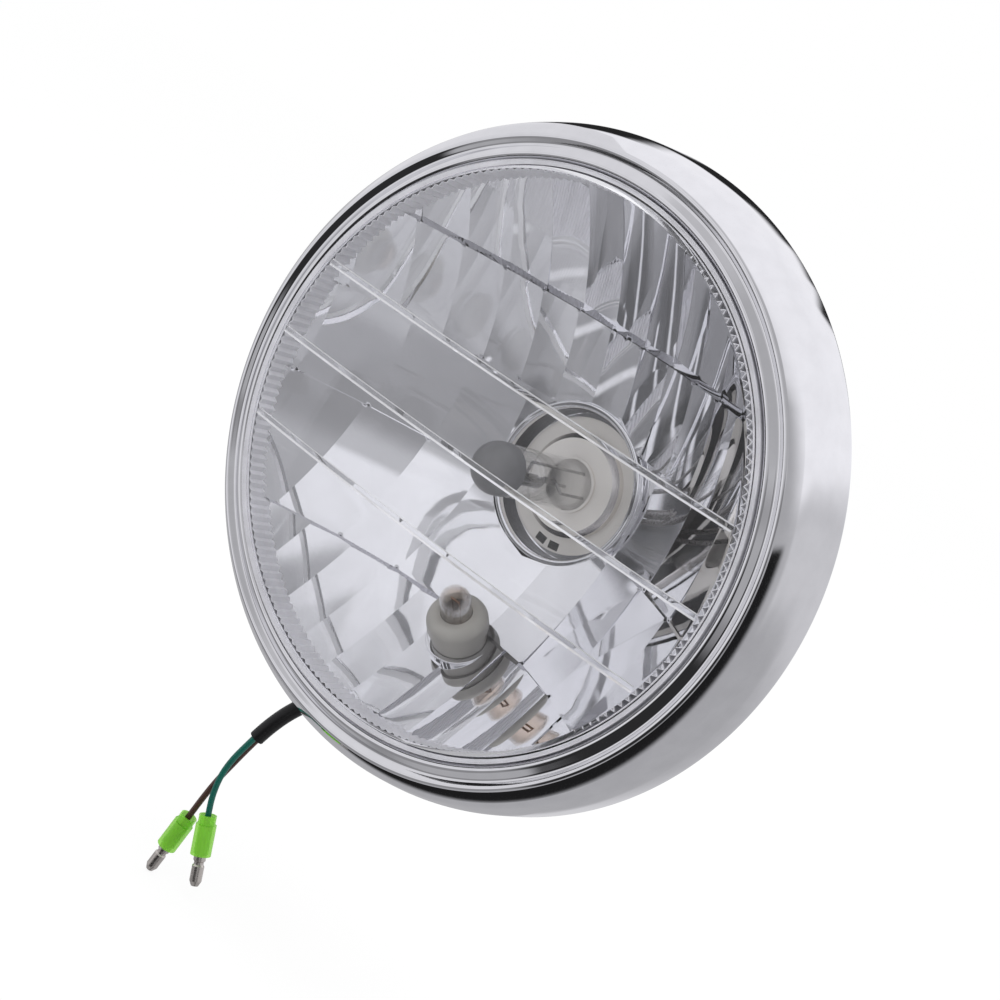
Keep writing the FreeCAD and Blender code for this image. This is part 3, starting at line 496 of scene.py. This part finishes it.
MATERIALS = {
    "rim_chrome": metal("rim_chrome", (0.80, 0.80, 0.82), 0.05, 0.5, 0.0006),
    "lens_clear": clear("lens_clear", LENS_TINT, LENS_INDEX, LENS_RIPPLE, 0.01),
    "lens_frost": frosted("lens_frost", (0.88, 0.875, 0.93), 0.15),
    "lens_rib": clear_with_painted_highlights("lens_rib", LENS_TINT, LENS_INDEX, LENS_RIPPLE, 0.004, 0.6),
    "sealant": moulded("sealant", (0.42, 0.42, 0.44), 0.6, 0.6, 0.05),
    "mirror_coat": mirror_coat(),
    "bore_painted_shade": moulded("bore_painted_shade", (0.035, 0.035, 0.04), 0.4, 0.5, 0.02),
    "spring_steel": metal("spring_steel", (0.55, 0.55, 0.56), 0.3, 0.4, 0.01),
    "zinc_steel": metal("zinc_steel", (0.66, 0.66, 0.64), 0.35, 0.6, 0.01),
    "bulb_quartz": thin_glass("bulb_quartz", (0.97, 0.97, 0.97), 0.10, 6.0, 0.01),
    "tip_paint": moulded("tip_paint", (0.17, 0.17, 0.18), 0.5, 0.3, 0.01),
    # Bulb base: painted shading, pale faces across the axis and darker mirroring sides
    "bulb_nickel": plated_with_painted_shading("bulb_nickel", (0.88, 0.85, 0.82), 0.2),
    "base_plastic": moulded("base_plastic", (0.62, 0.60, 0.55), 0.5, 0.4, 0.02),
    "tinned_brass": metal("tinned_brass", (0.66, 0.62, 0.58), 0.3, 0.6, 0.004),
    "lamp_wire": metal("lamp_wire", (0.35, 0.34, 0.33), 0.3, 0.2, 0.004),
    "black_rubber": moulded("black_rubber", (0.04, 0.04, 0.04), 0.6, 0.5, 0.03),
    # Socket: mid grey, partly the white plastic's own warm tone and partly painted shade of its place deep
    # in the bowl
    "holder_white": moulded("holder_white", (0.43, 0.415, 0.39), 0.4, 0.8, 0.01),
    "parking_clear": thin_glass("parking_clear", (0.95, 0.91, 0.87), 0.28, 3.0, 0.01),
    "sleeve_black": moulded("sleeve_black", (0.010, 0.010, 0.011), 0.35, 0.8, 0.02,
                            Specular_IOR_Level=0.3),
    "wire_green": moulded("wire_green", (0.0, 0.135, 0.10), 0.28, 0.6, 0.006),
    "wire_brown": moulded("wire_brown", (0.075, 0.034, 0.025), 0.3, 0.6, 0.006),
    "connector_green": tinted("connector_green", (0.38, 0.92, 0.09), (0.78, 1.0, 0.55), 0.5),
    "parking_coil": metal("parking_coil", (0.30, 0.19, 0.13), 0.45, 0.3, 0.004),
}


def dress(piece, slot, finish=None):
    """Give a piece the finish of a material slot, or a finer one, and let it ride on the lamp."""
    piece.data.materials.clear()
    piece.data.materials.append(MATERIALS[finish or slot])
    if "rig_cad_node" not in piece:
        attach(piece, "root")


def add_piece(name, points, faces, slot, nodes=(), sharp=32.0, place=None, closed=True, finish=None):
    """New mesh piece from points in millimetres, standing for the named CAD nodes."""
    points = np.asarray(points, float) * MM
    data = bpy.data.meshes.new(name)
    data.from_pydata(points.tolist(), [], [list(face) for face in faces])
    if place is not None:
        data.transform(place)
    work = bmesh.new()
    work.from_mesh(data)
    bmesh.ops.remove_doubles(work, verts=work.verts, dist=MERGE_DISTANCE)
    loose = [corner for corner in work.verts if not corner.link_faces]
    bmesh.ops.delete(work, geom=loose, context="VERTS")
    if closed:
        bmesh.ops.recalc_face_normals(work, faces=work.faces)
    work.to_mesh(data)
    work.free()
    data.shade_smooth()
    data.set_sharp_from_angle(angle=math.radians(sharp))
    piece = bpy.data.objects.new(name, data)
    bpy.context.scene.collection.objects.link(piece)
    dress(piece, slot, finish)
    if nodes:
        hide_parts(*nodes)


def rounded(points, radii):
    """Outline whose inner corners are arcs, one radius for each, cut into short straight steps."""
    corners = [np.array(point, float) for point in points]
    line = [corners[0]]
    for before, corner, after, radius in zip(corners, corners[1:], corners[2:], radii):
        back = (before - corner) / np.linalg.norm(before - corner)
        ahead = (after - corner) / np.linalg.norm(after - corner)
        half = math.acos(float(np.clip(back @ ahead, -1, 1))) / 2
        centre = corner + (back + ahead) / np.linalg.norm(back + ahead) * radius / math.sin(half)
        start = corner + back * radius / math.tan(half) - centre
        end = corner + ahead * radius / math.tan(half) - centre
        sweep = math.pi - 2 * half
        count = max(2, math.ceil(max(radius * sweep / ARC_STEP, math.degrees(sweep) / ARC_TURN)))
        for part in np.linspace(0, 1, count + 1):
            spoke = start * math.sin((1 - part) * sweep) + end * math.sin(part * sweep)
            line.append(centre + spoke / math.sin(sweep))
    line.append(corners[-1])
    return [tuple(point) for point in line]


def thickened(line, sheet):
    """Closed outline of a sheet whose outer face is an open (radius, y) line, with the body on its left."""
    points = np.array(line)
    along = np.gradient(points, axis=0)
    along /= np.linalg.norm(along, axis=1)[:, None]
    inner = points + np.stack([-along[:, 1], along[:, 0]], axis=1) * sheet
    return list(map(tuple, points)) + list(map(tuple, inner[::-1]))


def lathe(outline, segments, wobble=None):
    """Points and faces of a closed (radius, y) outline turned about the Y axis."""
    rings = len(outline)
    turns = np.arange(segments) * 2 * math.pi / segments
    points = []
    for radius, y in outline:
        reach = np.full(segments, float(radius))
        if wobble is not None:
            reach = reach + wobble(turns)
        depth = np.full(segments, float(y))
        points.append(np.stack([reach * np.cos(turns), depth, reach * np.sin(turns)], axis=1))
    faces = []
    for ring in range(rings):
        following = (ring + 1) % rings
        if outline[ring][0] == 0 and outline[following][0] == 0:
            continue
        for turn in range(segments):
            side = (turn + 1) % segments
            faces.append((ring * segments + turn, ring * segments + side,
                          following * segments + side, following * segments + turn))
    return np.concatenate(points), faces


def patch(points, faces, rows):
    """Add a grid of points, given as rows of one length, to a mesh."""
    start = len(points)
    width = len(rows[0])
    for row in rows:
        points.extend(row)
    for down in range(len(rows) - 1):
        for step in range(width - 1):
            corner = start + down * width + step
            faces.append((corner, corner + 1, corner + width + 1, corner + width))


def on_axis(origin, direction):
    """Matrix in metres that takes the Y axis at the origin to a place and direction in millimetres."""
    turn = Vector((0, 1, 0)).rotation_difference(Vector(direction)).to_matrix().to_4x4()
    return Matrix.Translation(Vector(origin) * MM) @ turn


def lowered():
    """Matrix in metres that drops a piece from the lamp's axis to the bulb's."""
    return Matrix.Translation((0, 0, -BULB_DROP * MM))


def dome_y(radius, setback=0.0):
    """Depth of the lens dome at a distance from the axis."""
    return LENS_FRONT + setback + DOME_SPHERE - math.sqrt(DOME_SPHERE ** 2 - radius ** 2)


def make_rim():
    """Chrome rim turned from a thin sheet."""
    outline = thickened(rounded(RIM_OUTLINE, RIM_RADII), RIM_SHEET)
    add_piece("rim_shell", *lathe(outline, RIM_SEGMENTS), "rim_chrome", ["rim"], sharp=60)


def make_lens():
    """Clear lens with its dome, skirt, clamped flange and tongue."""
    front = [(radius, dome_y(radius)) for radius in np.linspace(0, CROWN_RADIUS, DOME_RINGS)]
    corner = [(CROWN_RADIUS + LENS_CORNER * math.sin(turn), CORNER_Y - LENS_CORNER * math.cos(turn))
              for turn in np.linspace(0, math.pi / 2, CORNER_RINGS)[1:]]
    steps = [(LENS_RADIUS, FLANGE_FRONT), (FLANGE_RADIUS, FLANGE_FRONT), (FLANGE_RADIUS, FLANGE_BACK),
             (TONGUE[1], FLANGE_BACK), (TONGUE[1], TONGUE_END), (TONGUE[0], TONGUE_END),
             (TONGUE[0], FLANGE_BACK), (LENS_BORE, FLANGE_BACK), (LENS_BORE, CORNER_Y)]
    rear = [(radius, dome_y(radius, LENS_WALL)) for radius in np.linspace(CROWN_RADIUS, 0, DOME_RINGS)]
    outline = front + corner + steps + rear
    add_piece("lens_shell", *lathe(outline, LENS_SEGMENTS), "lens_clear", ["lens"], sharp=24)


def knurl(turns):
    """Depth of the knurl's teeth round the lens."""
    share = (turns * KNURL_TEETH / (2 * math.pi)) % 1.0
    return -KNURL_DEPTH * (1 - np.abs(2 * share - 1))


def make_frost():
    """Thin frosted bands on the lens's knurl and skirt, and a frosted ring inside the skirt's glass that
    paints light where the glass would show a dark gap.
    """
    bands = (
        ("lens_knurl", KNURL_RADIUS - BAND_SHEET, KNURL_RADIUS, CORNER_Y + KNURL_SETBACK, KNURL_END, knurl),
        ("lens_skirt_frost", LENS_RADIUS + BAND_GAP, LENS_RADIUS + BAND_GAP + BAND_SHEET, CORNER_Y,
         FLANGE_FRONT - BAND_GAP, None),
        # Frosted ring inside the lens glass: painted light over the dark gap behind the skirt
        ("lens_painted_light_ring", LENS_BORE + BAND_SHEET, LENS_RADIUS - BAND_SHEET, PAINTED_RING_TOP,
         PAINTED_RING_TOP + BAND_SHEET, None),
    )
    for name, inside, outside, top, bottom, wobble in bands:
        band = [(outside, top), (outside, bottom), (inside, bottom), (inside, top)]
        mesh = lathe(band, KNURL_TEETH * KNURL_STEPS, wobble)
        add_piece(name, *mesh, "lens_clear", sharp=24, finish="lens_frost")


def make_ribs():
    """Straight ribs with sloped sides on the inside of the dome."""
    section = rounded([(RIB_WIDTH / 2, 0.0), (RIB_CROWN / 2, RIB_DEPTH), (-RIB_CROWN / 2, RIB_DEPTH),
                       (-RIB_WIDTH / 2, 0.0)], [RIB_ROUND, RIB_ROUND])
    for number, height in enumerate(RIB_HEIGHTS, 1):
        half = math.sqrt(CROWN_RADIUS ** 2 - (abs(height) + RIB_WIDTH) ** 2)
        rows = [[(x, dome_y(math.hypot(x, height + aside), LENS_WALL) + RIB_GAP + deep, height + aside)
                 for aside, deep in section] for x in np.linspace(-half, half, RIB_STATIONS)]
        points, faces = [], []
        patch(points, faces, rows)
        add_piece(f"lens_rib_{number}", points, faces, "lens_clear", sharp=70, closed=False,
                  finish="lens_rib")


def flute_lean(zone, flute):
    """Slopes of a flute across and up, a little different for each one."""
    turn = LEAN_TURN * (flute + LEAN_ZONE * zone)
    share = 1.0 if flute > 0 else CALM_SIDE[zone]
    return share * FLUTE_LEAN[0] * math.cos(turn), share * FLUTE_LEAN[1] * math.sin(LEAN_RISE * turn)


def bowl_y(square):
    """Depth of the plain parabola at a squared distance from the axis."""
    return VERTEX_Y - square / (4 * MIRROR_FOCUS)


def mirror_y(x, z, zone):
    """Depth of a mirror facet: the parabola, its zone's step and its flute's bulge and lean."""
    width = FLUTE_WIDTH[zone]
    flute = math.floor(x / width + 0.5)
    aside = x - flute * width
    above = z - (ZONE_LEVELS[zone] + ZONE_LEVELS[zone + 1]) / 2
    across, up = flute_lean(zone, flute)
    bulge = FLUTE_RISE * (1 - (2 * aside / width) ** 2)
    return bowl_y(x ** 2 + z ** 2) + ZONE_ADVANCE[zone] - bulge + across * aside + up * above


def flute_spans(zone):
    """Edges of a zone's flutes on the +X side, from the middle outwards."""
    width = FLUTE_WIDTH[zone]
    edges = [width * (step + 0.5) for step in range(math.ceil(MIRROR_RADIUS / width))]
    return [0.0] + [edge for edge in edges if edge < MIRROR_RADIUS] + [MIRROR_RADIUS]


def neck_edge(z):
    """Half width, at a height, of the mirror's opening under the neck's lip."""
    return math.sqrt(max(0.0, (NECK_LIP - LIP_LAP) ** 2 - (z + BULB_DROP) ** 2))


def mirror_edge(z):
    """Half width of the mirror at a height."""
    return math.sqrt(max(0.0, MIRROR_RADIUS ** 2 - z ** 2))


def bounded(x, z):
    """Keep a place across the mirror between the neck's lip and the mirror's edge."""
    return min(max(x, neck_edge(z)), mirror_edge(z))


def in_boss(point):
    """Whether a place on the mirror is under the parking bulb's boss."""
    offset = Vector(point) - PARKING_SEAT
    return (offset - PARKING_AXIS * offset.dot(PARKING_AXIS)).length < BOSS_RADIUS - BOSS_LAP


def add_facets(points, faces, zone, low, high):
    """Add the fluted facets of one zone."""
    levels = np.linspace(low, high, max(2, round((high - low) / MIRROR_STEP)))
    spans = flute_spans(zone)
    for left, right in zip(spans, spans[1:]):
        shares = np.linspace(0.0, 1.0, max(5, round((right - left) / MIRROR_STEP)))
        for side in (-1, 1):
            rows = []
            for z in levels:
                start, end = bounded(left, z), bounded(right, z)
                row = []
                for x in start + (end - start) * shares:
                    within = min(max(x, left + FLUTE_NUDGE), right - FLUTE_NUDGE)
                    row.append((side * x, mirror_y(side * within, z, zone), z))
                rows.append(row)
            if max(abs(row[-1][0] - row[0][0]) for row in rows) > NARROWEST_FACET:
                patch(points, faces, rows)


def add_flute_walls(points, faces, zone, low, high):
    """Add the small upright walls between a zone's flutes."""
    for edge_x in flute_spans(zone)[1:-1]:
        levels = [z for z in np.linspace(low, high, WALL_LEVELS) if bounded(edge_x, z) == edge_x]
        if len(levels) < 2:
            continue
        for side in (-1, 1):
            rows = [[(side * edge_x, mirror_y(side * (edge_x + nudge), z, zone), z) for z in levels]
                    for nudge in (-FLUTE_NUDGE, FLUTE_NUDGE)]
            patch(points, faces, rows)


def add_step_walls(points, faces, zone, level):
    """Add the small level walls between a zone and the next one up."""
    for side in (-1, 1):
        places = [side * x for x in np.linspace(neck_edge(level), mirror_edge(level), STEP_PLACES)]
        rows = [[(x, mirror_y(x, level, near), level) for x in places] for near in (zone, zone + 1)]
        patch(points, faces, rows)


def make_mirror():
    """Stepped and fluted mirror face with the small walls between its facets."""
    points, faces = [], []
    zones = list(enumerate(zip(ZONE_LEVELS, ZONE_LEVELS[1:])))
    for zone, (low, high) in zones:
        add_facets(points, faces, zone, low, high)
    for zone, (low, high) in zones:
        add_flute_walls(points, faces, zone, low, high)
    for zone, level in enumerate(ZONE_LEVELS[1:-1]):
        add_step_walls(points, faces, zone, level)
    kept = [face for face in faces if not all(in_boss(points[corner]) for corner in face)]
    add_piece("mirror_face", points, kept, "mirror_coat", sharp=14)


def back_y(radius):
    """Depth of the bowl's back, one wall behind the parabola."""
    slope = radius / (2 * MIRROR_FOCUS)
    return bowl_y(radius ** 2) + MIRROR_WALL * math.hypot(1, slope) + max(ZONE_ADVANCE)


def make_reflector_body():
    """Moulded bowl behind the mirror face, with its lens channel."""
    inner_edge = CHANNEL[0] - CHANNEL_WALL
    outline = [(MIRROR_RADIUS, bowl_y(MIRROR_RADIUS ** 2)), (MIRROR_RADIUS, CHANNEL_TOP),
               (CHANNEL[0], CHANNEL_TOP), (CHANNEL[0], CHANNEL_BOTTOM), (CHANNEL[1], CHANNEL_BOTTOM),
               (CHANNEL[1], CHANNEL_TOP), (UNIT_RADIUS, CHANNEL_TOP), (UNIT_RADIUS, UNIT_BACK),
               (inner_edge, UNIT_BACK)]
    outline += [(radius, back_y(radius)) for radius in np.linspace(inner_edge, BODY_BORE, BACK_CONES)]
    outline += [(radius, back_y(radius) - BODY_SHARE * MIRROR_WALL)
                for radius in np.linspace(BODY_BORE, MIRROR_RADIUS, BACK_CONES)]
    add_piece("reflector_body", *lathe(outline, BODY_SEGMENTS), "mirror_coat", ["reflector"], sharp=35)


def make_neck():
    """Neck that holds the main bulb, with its lip and ledge, and a near-black sheet in its bore as painted
    shade.
    """
    neck = rounded([(NECK_BORE, LEDGE[0]), (NECK_BORE, NECK_MOUTH), (NECK_LIP, NECK_MOUTH),
                    (NECK_LIP, NECK_START)], [NECK_ROUND, NECK_ROUND])
    neck += [(NECK_OUTER, NECK_START), (NECK_OUTER, NECK_BACK), (RECESS_RADIUS, NECK_BACK),
             (RECESS_RADIUS, LEDGE[1]), (LEDGE_BORE, LEDGE[1]), (LEDGE_BORE, LEDGE[0])]
    add_piece("reflector_neck", *lathe(neck, NECK_SEGMENTS), "mirror_coat", sharp=50, place=lowered())
    # Near-black sheet just inside the bore, behind its mouth: painted shade of the deep hole
    outside = NECK_BORE - BORE_GAP
    inside = outside - BORE_SHEET
    mouth = NECK_MOUTH + BORE_SETBACK
    end = LEDGE[0] - BORE_GAP
    bore = [(outside, mouth), (outside, end), (inside, end), (inside, mouth)]
    add_piece("reflector_bore", *lathe(bore, NECK_SEGMENTS), "mirror_coat", sharp=50, place=lowered(),
              finish="bore_painted_shade")


def make_boss():
    """Boss on the mirror that holds the parking bulb."""
    boss = rounded([(BOSS_HOLE, -BOSS_BACK), (BOSS_HOLE, BOSS_RISE), (BOSS_RADIUS, BOSS_RISE),
                    (BOSS_RADIUS, -BOSS_BACK)], [BOSS_ROUND, BOSS_ROUND])
    add_piece("parking_boss", *lathe(boss, BOSS_SEGMENTS), "mirror_coat",
              place=on_axis(PARKING_SEAT, PARKING_AXIS))


def bullet_line(radius, tip, end):
    """Round-ended outline from the axis at the tip to the open end."""
    arc = [(radius * math.sin(turn), tip + radius - radius * math.cos(turn))
           for turn in np.linspace(0, math.pi / 2, TIP_RINGS)]
    return arc + [(radius, end)]


def make_bulb():
    """Glass of the main bulb and the grey coat over its tip."""
    outer = bullet_line(BULB_RADIUS, BULB_TIP, BULB_FOOT)
    inner = bullet_line(BULB_RADIUS - BULB_WALL, BULB_TIP + BULB_WALL, BULB_FOOT)
    add_piece("bulb_envelope", *lathe(outer + inner[::-1], BULB_SEGMENTS), "bulb_quartz", ["bulb_glass"],
              place=lowered())
    coat_inner = bullet_line(BULB_RADIUS + COAT_GAP, BULB_TIP - COAT_GAP, BULB_TIP + TIP_COAT)
    coat_outer = bullet_line(BULB_RADIUS + COAT, BULB_TIP - COAT, BULB_TIP + TIP_COAT)
    add_piece("bulb_tip_coat", *lathe(coat_outer + coat_inner[::-1], BULB_SEGMENTS), "tip_paint",
              ["bulb_tip_cap"], place=lowered())


def make_parking_bulb():
    """Glass of the parking bulb on its own axis."""
    def envelope(radius, top, foot):
        return [(radius, foot)] + [(r, -y) for r, y in reversed(bullet_line(radius, -top, -foot)[:-1])]

    floor = PARKING_FOOT + PARKING_FLOOR
    outer = envelope(PARKING_RADIUS, PARKING_TOP, PARKING_FOOT)
    inner = envelope(PARKING_RADIUS - PARKING_WALL, PARKING_TOP - PARKING_WALL, floor)
    outline = [(0.0, PARKING_FOOT)] + outer + inner[::-1] + [(0.0, floor)]
    add_piece("parking_envelope", *lathe(outline, PARKING_SEGMENTS), "parking_clear", ["parking_glass"],
              place=on_axis(PARKING_SEAT, PARKING_AXIS))


def make_cord(name, route, radius, slot, node):
    """Round cord along a smooth line drawn by its route."""
    curve = bpy.data.curves.new(name, "CURVE")
    curve.dimensions = "3D"
    curve.bevel_depth = radius * MM
    curve.bevel_resolution = 6
    curve.use_fill_caps = True
    spline = curve.splines.new("NURBS")
    spline.points.add(len(route) - 1)
    for point, place in zip(spline.points, route):
        point.co = (*(Vector(place) * MM), 1.0)
    spline.order_u = 3
    spline.use_endpoint_u = True
    spline.resolution_u = 12
    cord = bpy.data.objects.new(name, curve)
    bpy.context.scene.collection.objects.link(cord)
    dress(cord, slot)
    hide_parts(node)
    return cord


def wire_route(side, bends, connector):
    """Route of a wire from inside the sleeve's mouth into the barrel of its connector."""
    end = Vector(SLEEVE_ROUTE[-1])
    way = (end - Vector(SLEEVE_ROUTE[-2])).normalized()
    aside = (Vector((0, 1, 0)) - way * way.y).normalized() * side * WIRE_OFFSET
    top, bottom = Vector(connector[0]), Vector(connector[1])
    inward = (bottom - top).normalized()
    return [end - way * WIRE_INSIDE + aside, end + way * WIRE_EXIT + aside, *map(Vector, bends), top,
            top + inward * BARREL_INSET]


def make_lead():
    """Black sleeve, and green and brown wires that run into their connectors, drawn as round cords."""
    sleeve = make_cord("lead_sleeve_tube", SLEEVE_ROUTE, SLEEVE_RADIUS, "sleeve_black", "lead_sleeve")
    for colour, side, bends, connector, length in (
            ("green", -1, GREEN_BENDS, GREEN_CONNECTOR, GREEN_LENGTH),
            ("brown", 1, BROWN_BENDS, BROWN_CONNECTOR, BROWN_LENGTH)):
        route = wire_route(side, bends, connector)
        wire = make_cord(f"wire_{colour}_tube", route, WIRE_RADIUS, f"wire_{colour}", f"wire_{colour}")


# Slots of the CAD pieces that are carried over, and the finish of those that differ from their slot
CAD_SLOTS = {
    "lens_seal": "sealant", "unit_clips": "spring_steel", "mount_tabs": "zinc_steel",
    "tab_nuts": "zinc_steel", "top_hook": "zinc_steel", "bulb_base": "bulb_nickel",
    "bulb_insulator": "base_plastic", "bulb_terminals": "tinned_brass", "bulb_supports": "lamp_wire",
    "bulb_shield": "lamp_wire", "bulb_filaments": "lamp_wire", "bulb_spring": "spring_steel",
    "spring_screws": "zinc_steel", "dust_boot": "black_rubber", "parking_holder": "holder_white",
    "parking_filament": "lamp_wire", "green_connector_sleeve": "connector_green",
    "brown_connector_sleeve": "connector_green", "green_bullet_pin": "tinned_brass",
    "brown_bullet_pin": "tinned_brass",
}
CAD_FINISHES = {"parking_filament": "parking_coil"}


def make_camera():
    """Camera placed by its angles about the lamp, rolled as the photograph is."""
    azimuth = math.radians(CAMERA_AZIMUTH)
    elevation = math.radians(CAMERA_ELEVATION)
    roll = math.radians(CAMERA_ROLL)
    right = Vector((math.cos(azimuth), math.sin(azimuth), 0))
    back = Vector((math.sin(azimuth) * math.cos(elevation), -math.cos(azimuth) * math.cos(elevation),
                   math.sin(elevation)))
    up = back.cross(right)
    level = right * math.cos(roll) + up * math.sin(roll)
    upright = up * math.cos(roll) - right * math.sin(roll)
    camera = bpy.data.objects.new("camera", bpy.data.cameras.new("camera"))
    camera.data.lens = CAMERA_LENS
    camera.data.clip_start = 0.01
    place = CAMERA_TARGET + level * CAMERA_ASIDE[0] + upright * CAMERA_ASIDE[1] + back * CAMERA_DISTANCE
    turn = Matrix((level, upright, back)).transposed().to_4x4()
    camera.matrix_world = Matrix.Translation(place * MM) @ turn
    bpy.context.scene.collection.objects.link(camera)
    bpy.context.scene.camera = camera
    return level, upright, back


def reflected(tree, path):
    """1 for rays off gloss and through glass."""
    return calculate(tree, "MAXIMUM", path["Is Glossy Ray"], path["Is Transmission Ray"])


def edge(tree, angle, from_angle, to_angle):
    """0 to 1, softly, as an angle in radians runs between two in degrees."""
    return spread(tree, angle, math.radians(from_angle), math.radians(to_angle), kind="SMOOTHSTEP")


def between(tree, angle, low, high, soft):
    """1 between two angles in degrees and 0 outside them, with soft edges."""
    return calculate(tree, "MULTIPLY", edge(tree, angle, low - soft, low + soft),
                     edge(tree, angle, high + soft, high - soft))


def along(tree, place, axis):
    """Share of a direction along an axis."""
    dot = tree.nodes.new("ShaderNodeVectorMath")
    dot.operation = "DOT_PRODUCT"
    dot.inputs[1].default_value = axis
    tree.links.new(place, dot.inputs[0])
    return dot.outputs["Value"]


def overlay(tree, shade, inside, value):
    """Brightness with a patch of another value laid over it."""
    blend = tree.nodes.new("ShaderNodeMix")
    blend.inputs[2].default_value = ROOM_BASE / ROOM_PEAK
    blend.inputs[3].default_value = value
    tree.links.new(inside, blend.inputs[0])
    if shade is not None:
        tree.links.new(shade, blend.inputs[2])
    return blend.outputs[0]


def room(tree, axes):
    """Brightness of the room that chrome, mirror and glass show: windows, darker walls and one dark bar."""
    place = tree.nodes.new("ShaderNodeTexCoord").outputs["Generated"]
    aside, above, ahead = (along(tree, place, axis) for axis in axes)
    around = calculate(tree, "ARCTAN2", aside, ahead)
    height = calculate(tree, "ARCSINE", above)
    path = tree.nodes.new("ShaderNodeLightPath").outputs
    through = path["Is Transmission Ray"]
    off_gloss = calculate(tree, "GREATER_THAN", path["Is Glossy Ray"], through)
    kinds = {"gloss": off_gloss, "glass": through}
    shade = None
    for left, right, bottom, top, soft, value, rays in ROOM:
        inside = calculate(tree, "MULTIPLY", between(tree, around, left, right, soft),
                           between(tree, height, bottom, top, soft))
        if rays in kinds:
            inside = calculate(tree, "MULTIPLY", inside, kinds[rays])
        shade = overlay(tree, shade, inside, value / ROOM_PEAK)
    axis = sum((direction * share for direction, share in zip(axes, BAR_AXIS)), Vector())
    off = calculate(tree, "ABSOLUTE", calculate(tree, "ARCSINE", along(tree, place, axis.normalized())))
    bar = calculate(tree, "MULTIPLY", edge(tree, off, BAR_HALF + BAR_SOFT, BAR_HALF - BAR_SOFT),
                    edge(tree, height, BAR_TOP + BAR_SOFT, BAR_TOP - BAR_SOFT))
    bar = calculate(tree, "MULTIPLY", bar, off_gloss)
    return overlay(tree, shade, bar, BAR_SHADE / ROOM_PEAK)


def make_world(axes):
    """Even soft light, a white backdrop for the camera and the room for rays off gloss and through glass."""
    world = bpy.data.worlds.new("studio")
    bpy.context.scene.world = world
    world.use_nodes = True
    tree = world.node_tree
    light = tree.nodes["Background"]
    light.inputs["Color"].default_value = (1.0, 1.0, 1.0, 1.0)
    light.inputs["Strength"].default_value = SOFT_LIGHT
    backdrop = tree.nodes.new("ShaderNodeBackground")
    backdrop.inputs["Color"].default_value = (1.0, 1.0, 1.0, 1.0)
    backdrop.inputs["Strength"].default_value = 1.0
    around = tree.nodes.new("ShaderNodeBackground")
    around.inputs["Strength"].default_value = ROOM_PEAK
    cast = tree.nodes.new("ShaderNodeValToRGB")
    cast.color_ramp.elements[1].color = (*ROOM_TINT, 1.0)
    tree.links.new(room(tree, axes), cast.inputs["Fac"])
    tree.links.new(cast.outputs["Color"], around.inputs["Color"])
    path = tree.nodes.new("ShaderNodeLightPath").outputs
    plain, white, mirrored = (node.outputs["Background"] for node in (light, backdrop, around))
    seen = mix_shaders(tree, path["Is Camera Ray"], plain, white)
    shown = mix_shaders(tree, reflected(tree, path), seen, mirrored)
    tree.links.new(shown, tree.nodes["World Output"].inputs["Surface"])


def floor_paint():
    """Pale paint that is white to the camera apart from the shadow on it."""
    material = new_material("floor", FLOOR_COLOUR, 0.9)
    tree = material.node_tree
    glow = tree.nodes.new("ShaderNodeEmission")
    glow.inputs["Strength"].default_value = FLOOR_GLOW
    path = tree.nodes.new("ShaderNodeLightPath").outputs
    shown = calculate(tree, "MAXIMUM", path["Is Camera Ray"], reflected(tree, path))
    share = spread(tree, shown, 0.0, 1.0, 0.0, FLOOR_SHARE)
    paint = tree.nodes["Principled BSDF"].outputs["BSDF"]
    mixed = mix_shaders(tree, share, paint, glow.outputs["Emission"])
    tree.links.new(mixed, tree.nodes["Material Output"].inputs["Surface"])
    return material


def make_floor():
    """Floor under the lowest piece."""
    data = bpy.data.meshes.new("floor")
    level = cad_low.z - FLOOR_GAP
    corners = [(-FLOOR_HALF, -FLOOR_HALF, level), (FLOOR_HALF, -FLOOR_HALF, level),
               (FLOOR_HALF, FLOOR_HALF, level), (-FLOOR_HALF, FLOOR_HALF, level)]
    data.from_pydata(corners, [], [(0, 1, 2, 3)])
    data.materials.append(floor_paint())
    floor = bpy.data.objects.new("floor", data)
    bpy.context.scene.collection.objects.link(floor)
    floor.visible_glossy = False
    floor.visible_transmission = False


def add_lamp(name, place, size, power):
    """Soft square lamp that points at the headlight."""
    data = bpy.data.lights.new(name, "AREA")
    data.shape = "SQUARE"
    data.size = size
    data.energy = power
    lamp = bpy.data.objects.new(name, data)
    lamp.location = place
    lamp.visible_glossy = False
    lamp.visible_transmission = False
    lamp.rotation_mode = "QUATERNION"
    lamp.rotation_quaternion = (-Vector(place)).to_track_quat("-Z", "Y")
    bpy.context.scene.collection.objects.link(lamp)


axes = make_camera()
make_lead()
make_rim()
make_lens()
make_frost()
make_ribs()
make_mirror()
make_reflector_body()
make_neck()
make_boss()
make_bulb()
make_parking_bulb()
for node, slot in CAD_SLOTS.items():
    dress(frame["nodes"][node], slot, CAD_FINISHES.get(node))
make_world(axes)
make_floor()
key_place = sum((axis * share for axis, share in zip(axes, KEY_PLACE)), Vector())
add_lamp("key", key_place, KEY_SIZE, KEY_POWER)
bpy.context.scene.view_settings.view_transform = "Standard"
